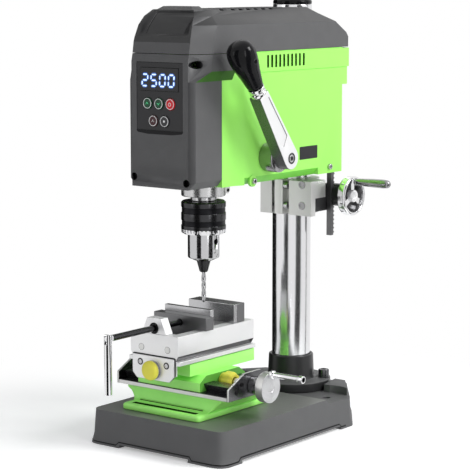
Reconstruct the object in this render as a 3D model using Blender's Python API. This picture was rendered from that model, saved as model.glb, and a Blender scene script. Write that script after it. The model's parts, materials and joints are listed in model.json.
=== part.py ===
"""Benchtop drill press with a cross-slide vise, built as separate named pieces.

Lengths are in metres, +Z is up and the operator stands at -Y, looking along +Y.
The machine frame has the spindle axis on its Z axis and the floor at Z = 0. The
origin of the part lies under the middle of the whole machine, on the floor.
"""

from math import acos, cos, pi, radians, sin

import bmesh
import bpy
from mathutils import Matrix, Vector

# Place of the spindle axis in the part's own frame
SPINDLE_X = -0.0217
SPINDLE_Y = -0.0379

# Fits that every sub-assembly shares
FIT = 0.0003
OVERRUN = 0.0060
ROUND_STEPS = 6
TURN_STEPS = 32
SMALL_TURN_STEPS = 16
BIT_STEPS = 12
BIT_ROWS = 12
TOOTH_SHARES = (0.0, 0.3, 0.45, 0.85)

# Base casting with its machined table
BASE_HALF_WIDTH = 0.0940
BASE_FRONT = -0.0865
BASE_SHOULDER = 0.1580
BASE_REAR = 0.2220
BASE_REAR_HALF_WIDTH = 0.0450
BASE_CORNER = 0.0120
BASE_HEIGHT = 0.0392
PAD_DROP = 0.0057
TABLE_REAR = 0.1100
STEP_RUN = 0.0060
SIDE_DRAFT = 0.0020
FLARE = 0.0050
FLARE_TOP = 0.0115
FLARE_FOOT = 0.0075
SKIRT_WALL = 0.0110
CAVITY_HEIGHT = 0.0190
NOTCH_HEIGHT = 0.0035
FRONT_NOTCH_LENGTH = 0.1000
SIDE_NOTCH_FRONT = -0.0560
SIDE_NOTCH_REAR = 0.1340
RIDGE_HEIGHT = 0.0090
RIDGE_FRONT = 0.1640
RIDGE_REAR = 0.1980
RIDGE_INNER = 0.0525
RIDGE_OUTER = 0.0860
RIDGE_REAR_INNER = 0.0450
RIDGE_REAR_OUTER = 0.0600
MOUNT_HOLE_X = 0.0730
MOUNT_HOLE_Y = 0.1400
MOUNT_HOLE_RADIUS = 0.0050
SPOT_RADIUS = 0.0270

# Column, its foot and its cap
COLUMN_Y = 0.1688
COLUMN_RADIUS = 0.0230
COLUMN_WALL = 0.0040
COLUMN_PROUD = 0.0030
CAP_THICKNESS = 0.0060
CAP_PLUG_LENGTH = 0.0100
FLANGE_RADIUS = 0.0480
FLANGE_THICKNESS = 0.0110
SOCKET_FOOT_WALL = 0.0053
SOCKET_TOP_WALL = 0.0038
SOCKET_HEIGHT = 0.0292
FLANGE_BOLT_COUNT = 3
FLANGE_BOLT_CIRCLE = 0.0400
FLANGE_BOLT_FIRST_ANGLE = radians(30)
FLANGE_BOLT_RADIUS = 0.0040
FLANGE_BOLT_LENGTH = 0.0240
BOLT_HEAD_RADIUS = 0.0065
BOLT_HEAD_HEIGHT = 0.0095

# Head: green body, and the black front cover and lid round its top
HEAD_BOTTOM = 0.2965
HEAD_HEIGHT = 0.1472
HEAD_SPLIT = HEAD_BOTTOM + HEAD_HEIGHT
HEAD_HALF_WIDTH = 0.0520
HEAD_NOSE_STEP = 0.0055
HEAD_NOSE_HALF_WIDTH = HEAD_HALF_WIDTH - HEAD_NOSE_STEP
HEAD_BAND_PROUD = 0.0012
HEAD_BAND_HALF_WIDTH = HEAD_HALF_WIDTH + HEAD_BAND_PROUD
HEAD_FRONT = -0.0252
HEAD_NOSE_REAR = -0.0070
HEAD_WIDE_FROM = 0.0080
HEAD_REAR = 0.2060
HEAD_STEP_RUN = 0.0080
HEAD_STEP_REAR = HEAD_REAR + HEAD_STEP_RUN
HEAD_BAND_RUN = 0.0040
HEAD_BAND_REAR = HEAD_STEP_REAR + HEAD_BAND_RUN
HEAD_STEP_HEIGHT = 0.0437
HEAD_STEP_BOTTOM = HEAD_SPLIT - HEAD_STEP_HEIGHT
HEAD_BAND_HEIGHT = 0.0227
HEAD_BAND_BOTTOM = HEAD_SPLIT - HEAD_BAND_HEIGHT
HEAD_BAND_FRONT = 0.0050
HEAD_CORNER = 0.0080
HEAD_WALL = 0.0040
HEAD_FLOOR = 0.0040
HEAD_CHAMFER_WIDTH = 0.0070
HEAD_CHAMFER_HEIGHT = 0.0085
HEAD_CHAMFER_REAR = 0.1500
SLEEVE_WALL = 0.0060
GUIDE_WALL = 0.0055
GUIDE_HEIGHT = 0.0975
GUIDE_TOP = HEAD_BOTTOM + GUIDE_HEIGHT
VENT_COUNT = 10
VENT_FRONT = 0.0480
VENT_PITCH = 0.0076
VENT_WIDTH = 0.0036
VENT_DROP = 0.0042
VENT_HEIGHT = 0.0140
VENT_TOP = HEAD_SPLIT - VENT_DROP
VENT_BOTTOM = VENT_TOP - VENT_HEIGHT
COVER_DEPTH = 0.0508
COVER_FRONT = HEAD_FRONT - COVER_DEPTH
COVER_LIFT = 0.0010
COVER_BOTTOM = HEAD_BOTTOM + COVER_LIFT
COVER_CORNER_WIDTH = 0.0065
COVER_FACE_HALF_WIDTH = HEAD_NOSE_HALF_WIDTH - COVER_CORNER_WIDTH
COVER_CORNER_DEPTH = 0.0052
COVER_WALL = 0.0030
COVER_CHAMFER_HEIGHT = 0.0080
COVER_CHAMFER_WIDTH = 0.0065
COVER_SHOULDER_DROP = 0.0297
COVER_SHOULDER_HEIGHT = 0.0110
COVER_SHOULDER_FOOT = HEAD_SPLIT - COVER_SHOULDER_DROP
COVER_SHOULDER_TOP = COVER_SHOULDER_FOOT + COVER_SHOULDER_HEIGHT
COVER_CREASE_RISE = 0.0100
COVER_CREASE = COVER_SHOULDER_TOP + COVER_CREASE_RISE
SHELL_CORNER_DEPTH = 0.0260
LID_RISE = 0.0473
LID_TOP = HEAD_SPLIT + LID_RISE
LID_TOP_HALF_WIDTH = 0.0300
LID_FRONT_RUN = 0.0240
LID_REAR_RUN = 0.0550
LID_WALL = 0.0030
# At each height share of the rise: shares of the front run, of the face's full
# width, of the narrowing from the full width to the top's, and of the rear run
LID_LEVEL_SHARES = (
    (0.000, 0.083, 1.000, 0.000, 0.000),
    (0.260, 0.160, 1.000, 0.000, 0.000),
    (0.366, 0.208, 0.990, 0.000, 0.073),
    (0.650, 0.416, 0.950, 0.000, 0.480),
    (0.850, 0.670, 0.870, 0.580, 0.800),
    (1.000, 1.000, 0.725, 1.000, 1.000),
)
PEAK_PROUD = 0.0035
LID_PEAK = LID_TOP + PEAK_PROUD
PEAK_HALF_WIDTH = 0.0270
PEAK_TOP_HALF_WIDTH = 0.0200
PEAK_SETBACK = 0.0030
PEAK_REAR = HEAD_FRONT - PEAK_SETBACK
GLAND_RADIUS = 0.0085
GLAND_LENGTH = 0.0100
GLAND_X = -0.0300
GLAND_HEIGHT = 0.0335
GLAND_Z = HEAD_BOTTOM + GLAND_HEIGHT
GLAND_PLUG_RADIUS = 0.0060
GLAND_BORE = 0.0035
COLUMN_TOP = LID_TOP + COLUMN_PROUD

# Clamp bracket round the column
BRACKET_GAP = 0.0080
BRACKET_HEIGHT = 0.0410
BRACKET_TOP = HEAD_BOTTOM - BRACKET_GAP
BRACKET_BOTTOM = BRACKET_TOP - BRACKET_HEIGHT
RING_WALL = 0.0100
RING_RADIUS = COLUMN_RADIUS + RING_WALL
BRACKET_REACH = 0.0318
BRACKET_FRONT = COLUMN_Y - BRACKET_REACH
BRACKET_RIGHT = 0.0510
BRACKET_PLATE_DEPTH = 0.0090
EAR_LEFT = -0.0230
EAR_HEIGHT = 0.0203
EAR_BOTTOM = BRACKET_TOP - EAR_HEIGHT
EAR_DEPTH = 0.0295
EAR_REAR = BRACKET_FRONT + EAR_DEPTH
EAR_INNER = 0.0240
SLIT_LEFT = -0.0055
SLIT_WIDTH = 0.0042
POCKET_LEFT = 0.0097
POCKET_WIDTH = 0.0093
CLAMP_SCREW_INSET = 0.0070
CLAMP_SCREW_SPACING = 0.0237
CLAMP_SCREW_HEIGHTS = (BRACKET_TOP - CLAMP_SCREW_INSET,
                       BRACKET_TOP - CLAMP_SCREW_INSET - CLAMP_SCREW_SPACING)
CLAMP_SCREW_SETBACK = 0.0047
CLAMP_SCREW_RADIUS = 0.0025
CLAMP_HEAD_RADIUS = 0.0042
CLAMP_HEAD_LENGTH = 0.0055
CLAMP_SCREW_LENGTH = 0.0300

# Height adjustment: pinion, its housing, handwheel, crank handle and rack
PINION_SETBACK = 0.0272
PINION_Y = COLUMN_Y + PINION_SETBACK
PINION_DROP = 0.0205
PINION_Z = BRACKET_TOP - PINION_DROP
PINION_RADIUS = 0.0052
HOUSING_RADIUS = 0.0135
HOUSING_LEFT = 0.0360
HOUSING_LENGTH = 0.0230
HOUSING_RIGHT = HOUSING_LEFT + HOUSING_LENGTH
HOUSING_WEB_THICKNESS = 0.0044
HOUSING_WEB_RIGHT = HOUSING_LEFT + HOUSING_WEB_THICKNESS
HOUSING_WEB_RISE = 0.0140
HOUSING_WEB_TOP = PINION_Z + HOUSING_WEB_RISE
HOUSING_WEB_DROP = 0.0180
HOUSING_WEB_BOTTOM = PINION_Z - HOUSING_WEB_DROP
RACK_LEFT = HOUSING_WEB_RIGHT + 2 * FIT
RACK_WIDTH = 0.0065
RACK_DEPTH = 0.0070
RACK_REACH = 0.0480
RACK_BOTTOM = PINION_Z - RACK_REACH
RACK_TOOTH_PITCH = 0.0050
RACK_TOOTH_DEPTH = 0.0016
LIFT_WHEEL_RADIUS = 0.0235
LIFT_WHEEL_WIDTH = 0.0110
LIFT_WHEEL_RIM = 0.0042
LIFT_WHEEL_WEB = 0.0045
LIFT_HUB_RADIUS = 0.0065
LIFT_SPOKE_HOLE_RADIUS = 0.0042
LIFT_SPOKE_HOLE_CIRCLE = 0.0125
LIFT_CRANK_OFFSET = 0.0172
LIFT_CRANK_LENGTH = 0.0490
LIFT_CRANK_ROOT_RADIUS = 0.0042
LIFT_CRANK_TIP_RADIUS = 0.0053

# Control panel on the front cover
PANEL_HALF_WIDTH = 0.0325
PANEL_DROP = 0.0092
PANEL_HEIGHT = 0.0740
PANEL_TOP = HEAD_SPLIT - PANEL_DROP
PANEL_BOTTOM = PANEL_TOP - PANEL_HEIGHT
PANEL_RECESS = 0.0020
PANEL_THICKNESS = 0.0012
DISPLAY_HALF_WIDTH = 0.0265
DISPLAY_HEIGHT = 0.0250
DISPLAY_DROP = 0.0060
DISPLAY_TOP = PANEL_TOP - DISPLAY_DROP
DISPLAY_BOTTOM = DISPLAY_TOP - DISPLAY_HEIGHT
DISPLAY_THICKNESS = 0.0030
BUTTON_RADIUS = 0.0063
BUTTON_PROUD = 0.0010
BUTTON_LENGTH = 0.0052
BUTTON_ROW_SPACING = 0.0189
BUTTON_DROP = 0.0139
BUTTON_ROW_Z = (DISPLAY_BOTTOM - BUTTON_DROP, DISPLAY_BOTTOM - BUTTON_DROP - BUTTON_ROW_SPACING)
BUTTON_PITCH = 0.0160
BUTTON_UPPER_X = -0.0007

# Drive: motor, pulleys and belt
MOTOR_Y = 0.1020
MOTOR_RADIUS = 0.0270
MOTOR_LIFT = 0.0395
MOTOR_HEIGHT = 0.1000
MOTOR_BOTTOM = HEAD_BOTTOM + MOTOR_LIFT
MOTOR_TOP = MOTOR_BOTTOM + MOTOR_HEIGHT
MOTOR_PEDESTAL_RADIUS = 0.0200
MOTOR_SHAFT_RADIUS = 0.0040
MOTOR_PULLEY_RADIUS = 0.0160
SPINDLE_PULLEY_RADIUS = 0.0240
PULLEY_LIFT = 0.0113
PULLEY_BOTTOM = HEAD_SPLIT + PULLEY_LIFT
PULLEY_WIDTH = 0.0150
PULLEY_FLANGE = 0.0020
PULLEY_HUB_RADIUS = 0.0100
PULLEY_COLLAR_RADIUS = 0.0135
PULLEY_COLLAR_LENGTH = 0.0080
BRIDGE_LIFT = 0.0130
BRIDGE_BOTTOM = GUIDE_TOP + BRIDGE_LIFT
BRIDGE_THICKNESS = 0.0100
BRIDGE_DEPTH = 0.0280
BELT_THICKNESS = 0.0030

# Quill, spindle and chuck
QUILL_RADIUS = 0.0252
QUILL_PROUD = 0.0145
QUILL_BOTTOM = HEAD_BOTTOM - QUILL_PROUD
QUILL_LENGTH = 0.1180
QUILL_TOP = QUILL_BOTTOM + QUILL_LENGTH
QUILL_RACK_HALF_WIDTH = 0.0060
QUILL_RACK_PROUD = 0.0010
QUILL_RACK_START = 0.0080
QUILL_RACK_BOTTOM = QUILL_BOTTOM + QUILL_RACK_START
SPINDLE_RADIUS = 0.0060
SPINDLE_COLLAR_RADIUS = 0.0148
SPINDLE_COLLAR_HEIGHT = 0.0048
SPINDLE_RISE = 0.0210
SPINDLE_TOP = PULLEY_BOTTOM + SPINDLE_RISE
SPINDLE_NOSE_LENGTH = 0.0200
CHUCK_SLEEVE_RADIUS = 0.0254
CHUCK_SLEEVE_LENGTH = 0.0373
CHUCK_GAP = 0.0054
CHUCK_SLEEVE_TOP = QUILL_BOTTOM - CHUCK_GAP
CHUCK_SLEEVE_BOTTOM = CHUCK_SLEEVE_TOP - CHUCK_SLEEVE_LENGTH
CHUCK_TOOTH_COUNT = 18
CHUCK_TOOTH_DEPTH = 0.0030
CHUCK_BODY_RADIUS = 0.0180
CHUCK_BODY_LENGTH = 0.0620
CHUCK_SLEEVE_LID = 0.0036
CHUCK_BODY_TOP = CHUCK_SLEEVE_TOP - CHUCK_SLEEVE_LID
CHUCK_BODY_BOTTOM = CHUCK_BODY_TOP - CHUCK_BODY_LENGTH
CHUCK_NOSE_LENGTH = 0.0090
CHUCK_NOSE_BOTTOM = CHUCK_BODY_BOTTOM - CHUCK_NOSE_LENGTH
CHUCK_NOSE_RADIUS = 0.0120
CHUCK_BORE = 0.0045
CHUCK_GROOVE_SHARES = (0.35, 0.62)
KEY_HOLE_HEIGHT = 0.0150
KEY_HOLE_Z = CHUCK_BODY_BOTTOM + KEY_HOLE_HEIGHT
KEY_HOLE_RADIUS = 0.0035
KEY_HOLE_DEPTH = 0.0060
JAW_COUNT = 3
JAW_WIDTH = 0.0040
JAW_SEAT_DEPTH = 0.0070
JAW_TOP = CHUCK_BODY_BOTTOM + JAW_SEAT_DEPTH
JAW_LENGTH = 0.0230
JAW_BOTTOM = JAW_TOP - JAW_LENGTH
JAW_OUTER = 0.0062
JAW_GRIP_LENGTH = 0.0120
JAW_SLANT = radians(15)
JAW_TRAVEL = 0.0040
BIT_RADIUS = 0.0026
BIT_WEB = 0.0009
BIT_LENGTH = 0.0620
BIT_TOP = JAW_TOP + JAW_TRAVEL
BIT_TIP = BIT_TOP - BIT_LENGTH
BIT_FLUTE_LENGTH = 0.0330
BIT_FLUTE_TOP = BIT_TIP + BIT_FLUTE_LENGTH
BIT_FLUTE_TURNS = 1.6
BIT_POINT_LENGTH = 0.0016

# Feed lever, its hub and its pinion
FEED_PINION_RADIUS = 0.0236
FEED_TOOTH_DEPTH = 0.0014
FEED_PINION_ROOT = FEED_PINION_RADIUS - FEED_TOOTH_DEPTH
FEED_PINION_TEETH = 24
FEED_PINION_HALF_WIDTH = 0.0055
FEED_MESH = 0.0005
LEVER_Y = QUILL_RADIUS + QUILL_RACK_PROUD + FEED_MESH + FEED_PINION_RADIUS
LEVER_HEIGHT = 0.0288
LEVER_Z = HEAD_BOTTOM + LEVER_HEIGHT
LEVER_TILT = radians(35)
FEED_SHAFT_RADIUS = 0.0080
FEED_SHAFT_GAP = 0.0080
FEED_SHAFT_REACH = HEAD_HALF_WIDTH - FEED_SHAFT_GAP
FEED_BOSS_RADIUS = 0.0130
FEED_BOSS_LENGTH = 0.0120
HUB_RADIUS = 0.0168
HUB_LENGTH = 0.0200
HUB_END = HEAD_HALF_WIDTH + HUB_LENGTH
ARM_THICKNESS = 0.0140
ARM_ROOT_RADIUS = 0.0125
ARM_TIP_RADIUS = 0.0082
ARM_LENGTH = 0.0900
COLLAR_LENGTH = 0.0100
COLLAR_RADIUS = 0.0094
GRIP_GAP = 0.0010
GRIP_START = ARM_LENGTH + COLLAR_LENGTH + GRIP_GAP
GRIP_LENGTH = 0.0620
GRIP_RADIUS = 0.0165
GRIP_FOOT_RADIUS = 0.0090
GRIP_SHARES = ((0.0, 0.0), (0.15, 0.02), (0.60, 0.35), (0.95, 0.60), (1.0, 0.72), (0.90, 0.86),
               (0.62, 0.95))

# Cross-slide vise: base, X rail and saddle
VISE_X = -0.0157
VISE_BASE_X = -0.0095
VISE_Y = -0.0030
VISE_FLANGE_THICKNESS = 0.0068
VISE_FLANGE_HALF_LENGTH = 0.0560
VISE_FLANGE_HALF_DEPTH = 0.0650
VISE_PEDESTAL_HEIGHT = 0.0230
VISE_PEDESTAL_HALF_DEPTH = 0.0360
VISE_PEDESTAL_SPREAD = 0.0055
VISE_PEDESTAL_HALF_LENGTH = 0.0630
VISE_SLOT_WIDTH = 0.0060
VISE_SLOT_HALF_LENGTH = 0.0400
VISE_SLOT_SETBACK = 0.0130
RAIL_BOTTOM = BASE_HEIGHT + VISE_PEDESTAL_HEIGHT
RAIL_PLATE_THICKNESS = 0.0044
RAIL_HALF_LENGTH = 0.0790
RAIL_HALF_DEPTH = 0.0435
RAIL_HEIGHT = 0.0134
RAIL_TOP = RAIL_BOTTOM + RAIL_HEIGHT
RAIL_DOVETAIL_TOP = 0.0340
RAIL_DOVETAIL_ROOT = 0.0290
RAIL_CHANNEL_HALF_DEPTH = 0.0140
RAIL_CHANNEL_WEB = 0.0012
RAIL_CHANNEL_FLOOR = RAIL_BOTTOM + RAIL_CHANNEL_WEB
RAIL_END_THICKNESS = 0.0028
RAIL_END_RISE = 0.0144
RAIL_END_HEIGHT = RAIL_TOP + RAIL_END_RISE
RAIL_END_TOP_HALF_DEPTH = 0.0150
SADDLE_HALF_LENGTH = 0.0455
SADDLE_HALF_DEPTH = 0.0410
SADDLE_SKIRT_WEB = 0.0014
SADDLE_SKIRT_TOP = RAIL_TOP + SADDLE_SKIRT_WEB
SADDLE_NECK_HALF_DEPTH = 0.0300
SADDLE_NECK_HEIGHT = 0.0070
SADDLE_NECK_TOP = SADDLE_SKIRT_TOP + SADDLE_NECK_HEIGHT
SADDLE_TOP_HALF_WIDTH = 0.0345
SADDLE_TOP_FRONT = -0.0480
SADDLE_TOP_REAR = 0.0700
SADDLE_TABLE_THICKNESS = 0.0140
SADDLE_TOP = SADDLE_NECK_TOP + SADDLE_TABLE_THICKNESS
SADDLE_TENON_HALF_WIDTH = 0.0200
SADDLE_TENON_ROOT_HALF_WIDTH = 0.0160
SADDLE_TENON_HEIGHT = 0.0080
SADDLE_TENON_TOP = SADDLE_TOP + SADDLE_TENON_HEIGHT

# Cross-slide vise: Y slide, jaws and their screws
SLIDE_GAP = 0.0015
SLIDE_BOTTOM = SADDLE_TOP + SLIDE_GAP
SLIDE_STRIP_HEIGHT = 0.0045
SLIDE_STRIP_TOP = SLIDE_BOTTOM + SLIDE_STRIP_HEIGHT
SLIDE_GROOVE_HEIGHT = 0.0060
SLIDE_GROOVE_TOP = SLIDE_STRIP_TOP + SLIDE_GROOVE_HEIGHT
SLIDE_BODY_HEIGHT = 0.0220
SLIDE_TOP = SLIDE_GROOVE_TOP + SLIDE_BODY_HEIGHT
SLIDE_FRONT = -0.0690
SLIDE_REAR = 0.0690
SLIDE_HALF_WIDTH = 0.0345
SLIDE_STRIP_PROUD = 0.0025
SLIDE_STRIP_HALF_WIDTH = SLIDE_HALF_WIDTH + SLIDE_STRIP_PROUD
SLIDE_GROOVE_DEPTH = 0.0035
SLIDE_GROOVE_HALF_WIDTH = SLIDE_HALF_WIDTH - SLIDE_GROOVE_DEPTH
SLIDE_CHANNEL_HALF_WIDTH = 0.0220
SLIDE_FLOOR_THICKNESS = 0.0040
SLIDE_CHANNEL_FLOOR = SLIDE_GROOVE_TOP + SLIDE_FLOOR_THICKNESS
SLIDE_PLATE_THICKNESS = 0.0022
SLIDE_PLATE_RISE = 0.0073
SLIDE_PLATE_TOP = SLIDE_BOTTOM + SLIDE_PLATE_RISE
SLIDE_PLATE_DROP = 0.0130
SLIDE_PLATE_SIDE_BOTTOM = SLIDE_BOTTOM - SLIDE_PLATE_DROP
SLIDE_PLATE_POINT = 0.0065
SLIDE_PLATE_BOTTOM = SLIDE_PLATE_SIDE_BOTTOM - SLIDE_PLATE_POINT
SLIDE_PLATE_HALF_WIDTH = 0.0300
KNOB_RADIUS = 0.0112
KNOB_LENGTH = 0.0090
KNOB_CHAMFER = 0.0010
KNOB_DROP = 0.0080
KNOB_Z = SLIDE_BOTTOM - KNOB_DROP
KNOB_SHAFT_RADIUS = 0.0035
KNOB_SHAFT_LENGTH = 0.1000
JAW_HEIGHT = 0.0220
JAW_TOP_Z = SLIDE_TOP + JAW_HEIGHT
JAW_HALF_WIDTH = 0.0335
MOVING_JAW_DEPTH = 0.0198
MOVING_JAW_REAR = -0.0042
MOVING_JAW_FRONT = MOVING_JAW_REAR - MOVING_JAW_DEPTH
FIXED_JAW_FRONT = 0.0330
FIXED_JAW_DEPTH = 0.0200
FIXED_JAW_REAR = FIXED_JAW_FRONT + FIXED_JAW_DEPTH
JAW_PLATE_THICKNESS = 0.0060
JAW_LIP = 0.0050
SUPPORT_FRONT = SLIDE_FRONT
SUPPORT_THICKNESS = 0.0120
SUPPORT_REAR = SUPPORT_FRONT + SUPPORT_THICKNESS
SUPPORT_HEIGHT = 0.0180
SUPPORT_TOP_Z = SLIDE_TOP + SUPPORT_HEIGHT
SUPPORT_TOP_HALF_WIDTH = 0.0100
SUPPORT_FOOT_HALF_WIDTH = 0.0175
JAW_SCREW_LIFT = 0.0065
JAW_SCREW_Z = SLIDE_TOP + JAW_SCREW_LIFT
JAW_SCREW_RADIUS = 0.0035
JAW_SCREW_LENGTH = 0.1220
JAW_SCREW_END = MOVING_JAW_FRONT + JAW_PLATE_THICKNESS
JAW_SCREW_FRONT = JAW_SCREW_END - JAW_SCREW_LENGTH
JAW_HANDLE_RADIUS = 0.0042
JAW_HANDLE_LENGTH = 0.0620
JAW_HANDLE_EYE = 0.0060
JAW_HANDLE_TONGUE = 0.0030
JAW_HANDLE_PIN_RADIUS = 0.0015

# Cross-slide vise: X screw, handwheel and crank handle
X_SCREW_LIFT = 0.0123
X_SCREW_Z = RAIL_BOTTOM + X_SCREW_LIFT
X_SCREW_RADIUS = 0.0045
X_HUB_RADIUS = 0.0100
X_HUB_LENGTH = 0.0151
X_WHEEL_START = VISE_BASE_X + RAIL_HALF_LENGTH + 2 * FIT + RAIL_END_THICKNESS + X_HUB_LENGTH
X_WHEEL_WIDTH = 0.0100
X_WHEEL_END = X_WHEEL_START + X_WHEEL_WIDTH
X_WHEEL_RADIUS = 0.0172
X_CRANK_OFFSET = 0.0150
X_CRANK_LENGTH = 0.0440
X_CRANK_RADIUS = 0.0040
X_CRANK_BOSS_RADIUS = 0.0052
X_DIAL_RADIUS = 0.0108
X_DIAL_LENGTH = 0.0130
X_DIAL_LOBES = 6
X_DIAL_LOBE_DEPTH = 0.0016

# Colours from the photograph, as linear RGB, with roughness and metallic
FINISHES = {
    "black_casting": ((0.045, 0.045, 0.047), 0.55, 0.0),
    "black_plastic": ((0.030, 0.030, 0.033), 0.40, 0.0),
    "grey_plastic": ((0.160, 0.160, 0.162), 0.50, 0.0),
    "green_paint": ((0.430, 0.950, 0.190), 0.40, 0.0),
    "chrome": ((0.800, 0.800, 0.810), 0.12, 1.0),
    "steel": ((0.620, 0.620, 0.630), 0.30, 1.0),
    "aluminium": ((0.780, 0.780, 0.770), 0.35, 1.0),
    "white_casting": ((0.780, 0.780, 0.780), 0.45, 0.2),
    "yellow_plastic": ((0.680, 0.620, 0.090), 0.45, 0.0),
    "blue_display": ((0.250, 0.450, 0.900), 0.20, 0.0),
    "green_button": ((0.030, 0.200, 0.090), 0.40, 0.0),
    "red_button": ((0.650, 0.050, 0.060), 0.40, 0.0),
    "belt_rubber": ((0.020, 0.020, 0.020), 0.80, 0.0),
}


# Solids in machine coordinates

def point(axis, u, v, w):
    """Return the point whose place along the axis is w and across it u and v."""
    return {"X": (w, u, v), "Y": (u, w, v), "Z": (u, v, w)}[axis]


def box(x_low, x_high, y_low, y_high, z_low, z_high):
    """Return a rectangular block."""
    outline = [(x_low, y_low), (x_high, y_low), (x_high, y_high), (x_low, y_high)]
    return prism("Z", outline, z_low, z_high)


def prism(axis, outline, low, high):
    """Return an outline extruded along an axis from low to high."""
    return loft(axis, [(low, outline), (high, outline)])


def loft(axis, sections):
    """Return a solid through outlines that have the same number of points."""
    mesh = bmesh.new()
    rings = [[mesh.verts.new(point(axis, u, v, w)) for u, v in outline] for w, outline in sections]
    mesh.faces.new(rings[0])
    mesh.faces.new(rings[-1])
    for lower, upper in zip(rings, rings[1:]):
        bridge(mesh, lower, upper)
    return mesh


def bridge(mesh, lower, upper):
    """Join two closed rings of points with quads, or with a fan if one is a single point."""
    count = max(len(lower), len(upper))
    for step in range(count):
        follow = (step + 1) % count
        corners = [lower[step % len(lower)], lower[follow % len(lower)],
                   upper[follow % len(upper)], upper[step % len(upper)]]
        mesh.faces.new(list(dict.fromkeys(corners)))


def turned(axis, centre, profile, steps=TURN_STEPS, hollow=False):
    """Return a profile of radius and height pairs turned about an axis through centre."""
    mesh = bmesh.new()
    rings = []
    for radius, height in profile:
        turns = [2 * pi * step / steps for step in range(steps)] if radius > 0 else [0.0]
        rings.append([mesh.verts.new(point(axis, centre[0] + radius * cos(turn),
                                           centre[1] + radius * sin(turn), height))
                      for turn in turns])
    pairs = list(zip(rings, rings[1:]))
    if hollow:
        pairs.append((rings[-1], rings[0]))
    else:
        for ring in (rings[0], rings[-1]):
            if len(ring) > 1:
                mesh.faces.new(ring)
    for lower, upper in pairs:
        bridge(mesh, lower, upper)
    return mesh


def rod(axis, centre, radius, low, high, steps=TURN_STEPS):
    """Return a plain cylinder."""
    return turned(axis, centre, [(radius, low), (radius, high)], steps)


def mirrored(half):
    """Return an outline from its right half, mirrored in X."""
    return half + [(-x, y) for x, y in reversed(half)]


def shifted(outline, u, v=0.0):
    """Return an outline moved by u and v."""
    return [(a + u, b + v) for a, b in outline]


def rounded(outline, radius, steps=ROUND_STEPS):
    """Return an outline with each of its corners rounded."""
    result = []
    for index, corner in enumerate(outline):
        here = Vector(corner)
        before = Vector(outline[index - 1]) - here
        after = Vector(outline[(index + 1) % len(outline)]) - here
        bend = before.angle(after)
        reach = min(radius / abs(sin(bend / 2)) * cos(bend / 2), before.length / 2, after.length / 2)
        start = here + before.normalized() * reach
        end = here + after.normalized() * reach
        for step in range(steps + 1):
            share = step / steps
            curve = start.lerp(here, share).lerp(here.lerp(end, share), share)
            result.append((curve.x, curve.y))
    return result


def gear_outline(centre, outer, root, teeth):
    """Return the outline of a toothed wheel with straight flanks."""
    corners = list(zip((root, root, outer, outer), TOOTH_SHARES))
    tooth_shares = [(radius, (tooth + share) / teeth)
                    for tooth in range(teeth) for radius, share in corners]
    return [(centre[0] + radius * cos(2 * pi * share), centre[1] + radius * sin(2 * pi * share))
            for radius, share in tooth_shares]


def circle(centre, radius, steps=TURN_STEPS):
    """Return a circle as an outline."""
    return [(centre[0] + radius * cos(2 * pi * step / steps),
             centre[1] + radius * sin(2 * pi * step / steps)) for step in range(steps)]


# Objects, their finishes and their joint axes

def material(name):
    """Return the material of a named finish, made once."""
    if name in bpy.data.materials:
        return bpy.data.materials[name]
    colour, roughness, metallic = FINISHES[name]
    made = bpy.data.materials.new(name)
    made.use_nodes = True
    shader = made.node_tree.nodes["Principled BSDF"]
    shader.inputs["Base Color"].default_value = (*colour, 1.0)
    shader.inputs["Roughness"].default_value = roughness
    shader.inputs["Metallic"].default_value = metallic
    made.diffuse_color = (*colour, 1.0)
    return made


class Axis:
    """An empty on a joint's axis, which carries the pieces that move with it."""

    def __init__(self, name, place, parent=None):
        self.place = Vector(place)
        self.empty = bpy.data.objects.new(name, None)
        self.empty.empty_display_size = HUB_RADIUS
        bpy.context.scene.collection.objects.link(self.empty)
        if parent:
            self.empty.parent = parent.empty
            self.empty.location = self.place - parent.place
        else:
            self.empty.location = (SPINDLE_X, SPINDLE_Y, 0.0)


class Piece:
    """A named sub-part, made from one solid with others joined to it or cut from it."""

    def __init__(self, name, axis, finish, body):
        self.name = name
        self.axis = axis
        self.tools = 0
        self.made = self.place_solid(name, body)
        self.made.data.materials.append(material(finish))

    def place_solid(self, name, body):
        """Make an object from a solid in machine coordinates, on the piece's joint axis."""
        bmesh.ops.recalc_face_normals(body, faces=body.faces)
        body.transform(Matrix.Translation(-self.axis.place))
        mesh = bpy.data.meshes.new(name)
        body.to_mesh(mesh)
        body.free()
        mesh.shade_smooth()
        mesh.set_sharp_from_angle(angle=radians(32))
        made = bpy.data.objects.new(name, mesh)
        bpy.context.scene.collection.objects.link(made)
        made.parent = self.axis.empty
        return made

    def work(self, operation, body):
        """Apply one Boolean step with a helper solid."""
        self.tools += 1
        helper = self.place_solid(f"{self.name}.{operation.lower()}.{self.tools}", body)
        helper.hide_render = True
        helper.display_type = "WIRE"
        step = self.made.modifiers.new(helper.name, "BOOLEAN")
        step.operation = operation
        step.object = helper
        return self

    def join(self, body):
        """Add a solid."""
        return self.work("UNION", body)

    def cut(self, body):
        """Take a solid away."""
        return self.work("DIFFERENCE", body)

    def keep(self, body):
        """Keep only what lies inside a solid."""
        return self.work("INTERSECT", body)


# Base, column and foot

def base_outline(offset):
    """Return the plan of the base, larger all round by offset."""
    front = [(BASE_HALF_WIDTH + offset, BASE_FRONT - offset)]
    rear = [(BASE_HALF_WIDTH + offset, BASE_SHOULDER),
            (BASE_REAR_HALF_WIDTH + offset, BASE_REAR + offset)]
    return rounded(mirrored(front + rear), BASE_CORNER + offset)


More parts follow.
